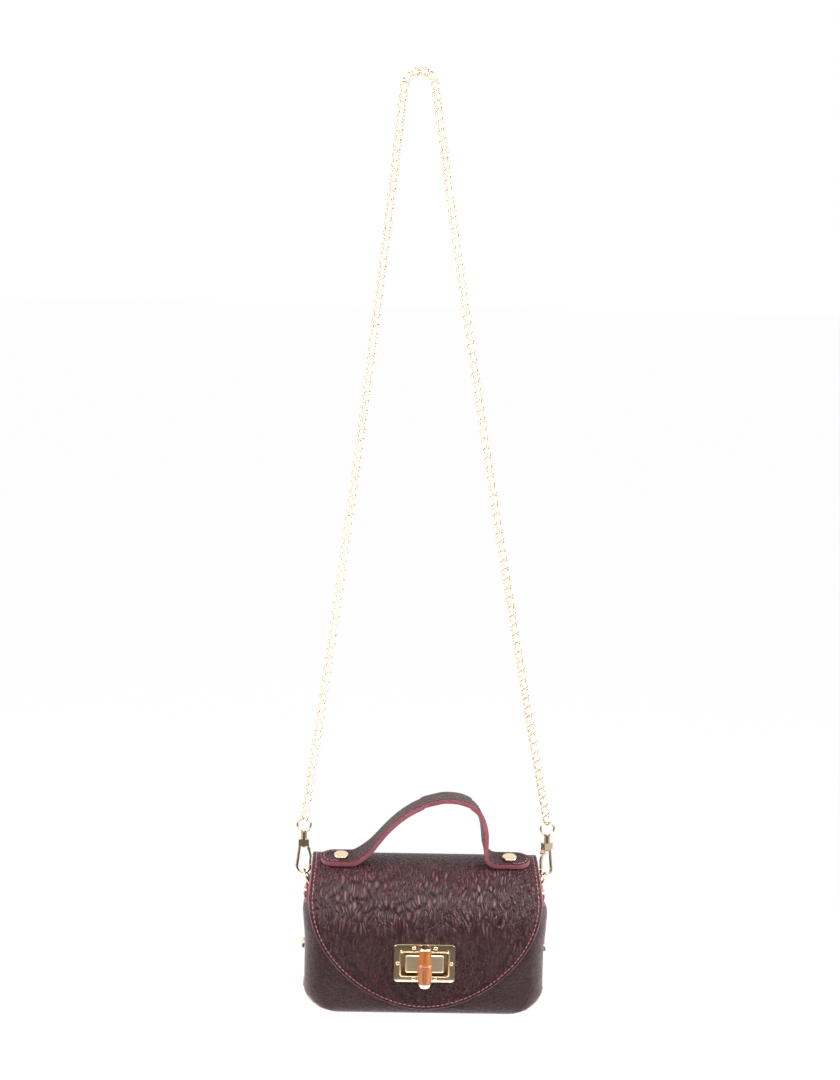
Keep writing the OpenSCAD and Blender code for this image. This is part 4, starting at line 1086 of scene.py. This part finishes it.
pin_places = np.array([(-19.1, 0), (19.1, 0), (-7.7, 11.2), (7.7, 11.2), (-7.7, -11.2), (7.7, -11.2)])
pin_profile = [(0.85, -4.4), (0.85, 1.3), (1.25, 1.44), (1.3, 1.6), (1.1, 1.85), (0.6, 2.02), (0.01, 2.06)]
pin = turned(pin_profile, 20)
pins = pin[None] + np.hstack([pin_places, np.zeros((6, 1))])[:, None, None]
pin_faces = copies(round_cells(pin), 6, pin[..., 0].size)
lock_pins = add_mesh("lock_frame_pin_heads", in_bag(on_lock(pins)), pin_faces, gilt)
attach(lock_pins, "flap")
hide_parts("lock_frame_pins")

block_sizes = [(26, 11, 1, -2.98), (28, 13, 1.5, -2.9), (28, 13, 1.5, 1.9), (27.8, 12.8, 1.4, 2.1),
               (26.2, 11.2, 0.9, 2.85), (26, 11, 0.8, 2.9), (18, 6, 0.6, 2.9), (8, 2, 0.4, 2.9),
               (0.02, 0.02, 0.01, 2.9)]
block_grid = plate_rings(block_sizes)
block_marks = np.repeat([0, 1], [outline_count * 5, outline_count * 3])
lock_block = add_mesh("lock_block", in_bag(on_lock(block_grid)), round_cells(block_grid), gilt, brushed,
                      marks=block_marks, sharp=20)
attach(lock_block, "flap")
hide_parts("lock_base")

# The toggle is a short piece of bamboo held between two crimped gilt cups on a strip, and the strip's
# spindle turns in the block. One knot rings the bamboo just above its middle.
toggle_out = 10.5


def on_toggle(profile, wave):
    """Carries a profile of (radius, place along the toggle) pairs round the toggle's own axis. The wave
    gives the relief of each row round it as a share of the radius."""
    grid = turned(profile, wave.shape[1])
    grid[..., :2] *= wave[..., None]
    return joined(grid[..., 0], grid[..., 2], toggle_out - grid[..., 1])


cup_profile = [(0.02, 14.5), (2.4, 14.5), (3.3, 14.4), (3.6, 14.1), (3.75, 13.4), (4.2, 12.7), (4.55, 11.9),
               (4.7, 11.5), (4.5, 11.4), (4.3, 11.6), (4, 12.5), (0.02, 12.7)]
crimp_share = np.array([0, 0, 0, 0.4, 1, 1, 0.6, 0.3, 0, 0, 0, 0])[:, None]
cup = on_toggle(cup_profile, 1 + 0.035 * np.cos(whole_turn(72) * 12) * crimp_share)
top_cup = cup * [0.95, 0.45, 0.95] + [0, 7.95, 0.05 * toggle_out]
bottom_cup = cup * [1, -1, 1]
strip_bottom, strip_top = toggle_out - 6.1, toggle_out - 5.1
strip_rings = plate_rings([(3.2, 28.4, 0.5, strip_bottom), (3.2, 28.4, 0.5, strip_top)])
strip_grid = np.concatenate([strip_rings[:1] * [0.01, 0.01, 1], strip_rings,
                             strip_rings[1:] * [0.01, 0.01, 1]])
spindle = turned([(0.02, -2.6), (2, -2.6), (2.1, -2.4), (2.1, 3.1), (2.7, 3.3), (2.7, 4.6), (2.1, 4.95)], 28)
ends = [np.stack(np.meshgrid([-1.6, 1.6], [end * 13.9, end * 14.45], [strip_bottom + 0.1, toggle_out - 1],
                             indexing="ij"), -1) for end in (-1, 1)]
box_cells = np.array([[0, 1, 3, 2], [4, 6, 7, 5], [0, 4, 5, 1], [2, 3, 7, 6], [0, 2, 6, 4], [1, 5, 7, 3]])
lots = [(top_cup, round_cells(cup)), (bottom_cup, round_cells(cup)[:, ::-1]),
        (strip_grid, round_cells(strip_grid)), (spindle, round_cells(spindle)),
        (ends[0], box_cells), (ends[1], box_cells)]
starts = np.cumsum([0] + [lot[0].size // 3 for lot in lots])
cradle = add_mesh("toggle_cups", in_bag(on_lock(np.vstack([lot[0].reshape(-1, 3) for lot in lots]))),
                  np.vstack([lot[1] + start for lot, start in zip(lots, starts)]), gilt, sharp=35)
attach(cradle, "toggle")
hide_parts("toggle_cradle")

bamboo, bamboo_shader = plain_finish("bamboo", (0.55, 0.2, 0.05, 1), 0.3, Coat_Weight=0.6,
                                     Coat_Roughness=0.12)
cane = object_place(bamboo)
streaks = noise(bamboo, stretched(bamboo, cane, 1500, 1500, 90), 1, 3, 0.6)
cane_share = ramp(bamboo, streaks, 0.35, 0.68)
cane_mix = mix_colours(bamboo, cane_share, (0.2, 0.046, 0.007, 1), (0.43, 0.155, 0.03, 1))
patchy = maths(bamboo, "MULTIPLY", noise(bamboo, cane, 210), 0.35)
scorch = maths(bamboo, "ADD", patchy, attribute(bamboo, "knot"), clamp=True)
burnt = mix_colours(bamboo, scorch, cane_mix, (0.17, 0.04, 0.008, 1))
link_to(bamboo, bamboo_shader.inputs["Base Color"], burnt)
emboss(bamboo, bamboo_shader, streaks, 0.3, 0.00015)

bamboo_shape = np.array([
    (-12.5, 0.02), (-12.45, 3.9), (-11.2, 4.3), (-10.6, 4.65), (-8, 4.85), (-4, 5.05), (-1, 5.15), (0.3, 5.2),
    (0.9, 5.35), (1.1, 5.25), (1.3, 5.25), (1.5, 5.5), (1.8, 5.6), (2.1, 5.4), (2.5, 4.95), (3.1, 4.7),
    (5, 4.45), (8, 4.35), (11.5, 4.35), (12.9, 4.2), (13.6, 3.9), (13.65, 0.02)])
bamboo_line = smooth_line(bamboo_shape, 3)
bamboo_line[:, 1] = np.clip(bamboo_line[:, 1], 0.02, None)
around = whole_turn(48)
lumps = rng.normal(size=(3, 4))
along_cane = bamboo_line[:, :1]
cane_wave = sum(size * np.sin((k + 2) * around + start * 3 + along_cane * lean * 0.25)
                for k, (size, start, lean, _) in enumerate(lumps))
bamboo_grid = on_toggle(bamboo_line[:, ::-1], 1 + 0.008 * cane_wave)
barrel = add_mesh("toggle_bamboo_barrel", in_bag(on_lock(bamboo_grid)),
                  round_cells(bamboo_grid)[:, ::-1], bamboo, sharp=60)
knot = 0.8 * np.exp(-((along_cane - 1.15) / 0.28) ** 2) + 0.4 * np.exp(-((along_cane - 2.6) / 0.5) ** 2)
knot = (knot + 0.25 * between(along_cane, 8.5, 11.5) + 0 * around).astype(np.float32)
barrel.data.attributes.new("knot", "FLOAT", "POINT").data.foreach_set("value", knot.ravel())
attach(barrel, "toggle")
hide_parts("toggle_bamboo")
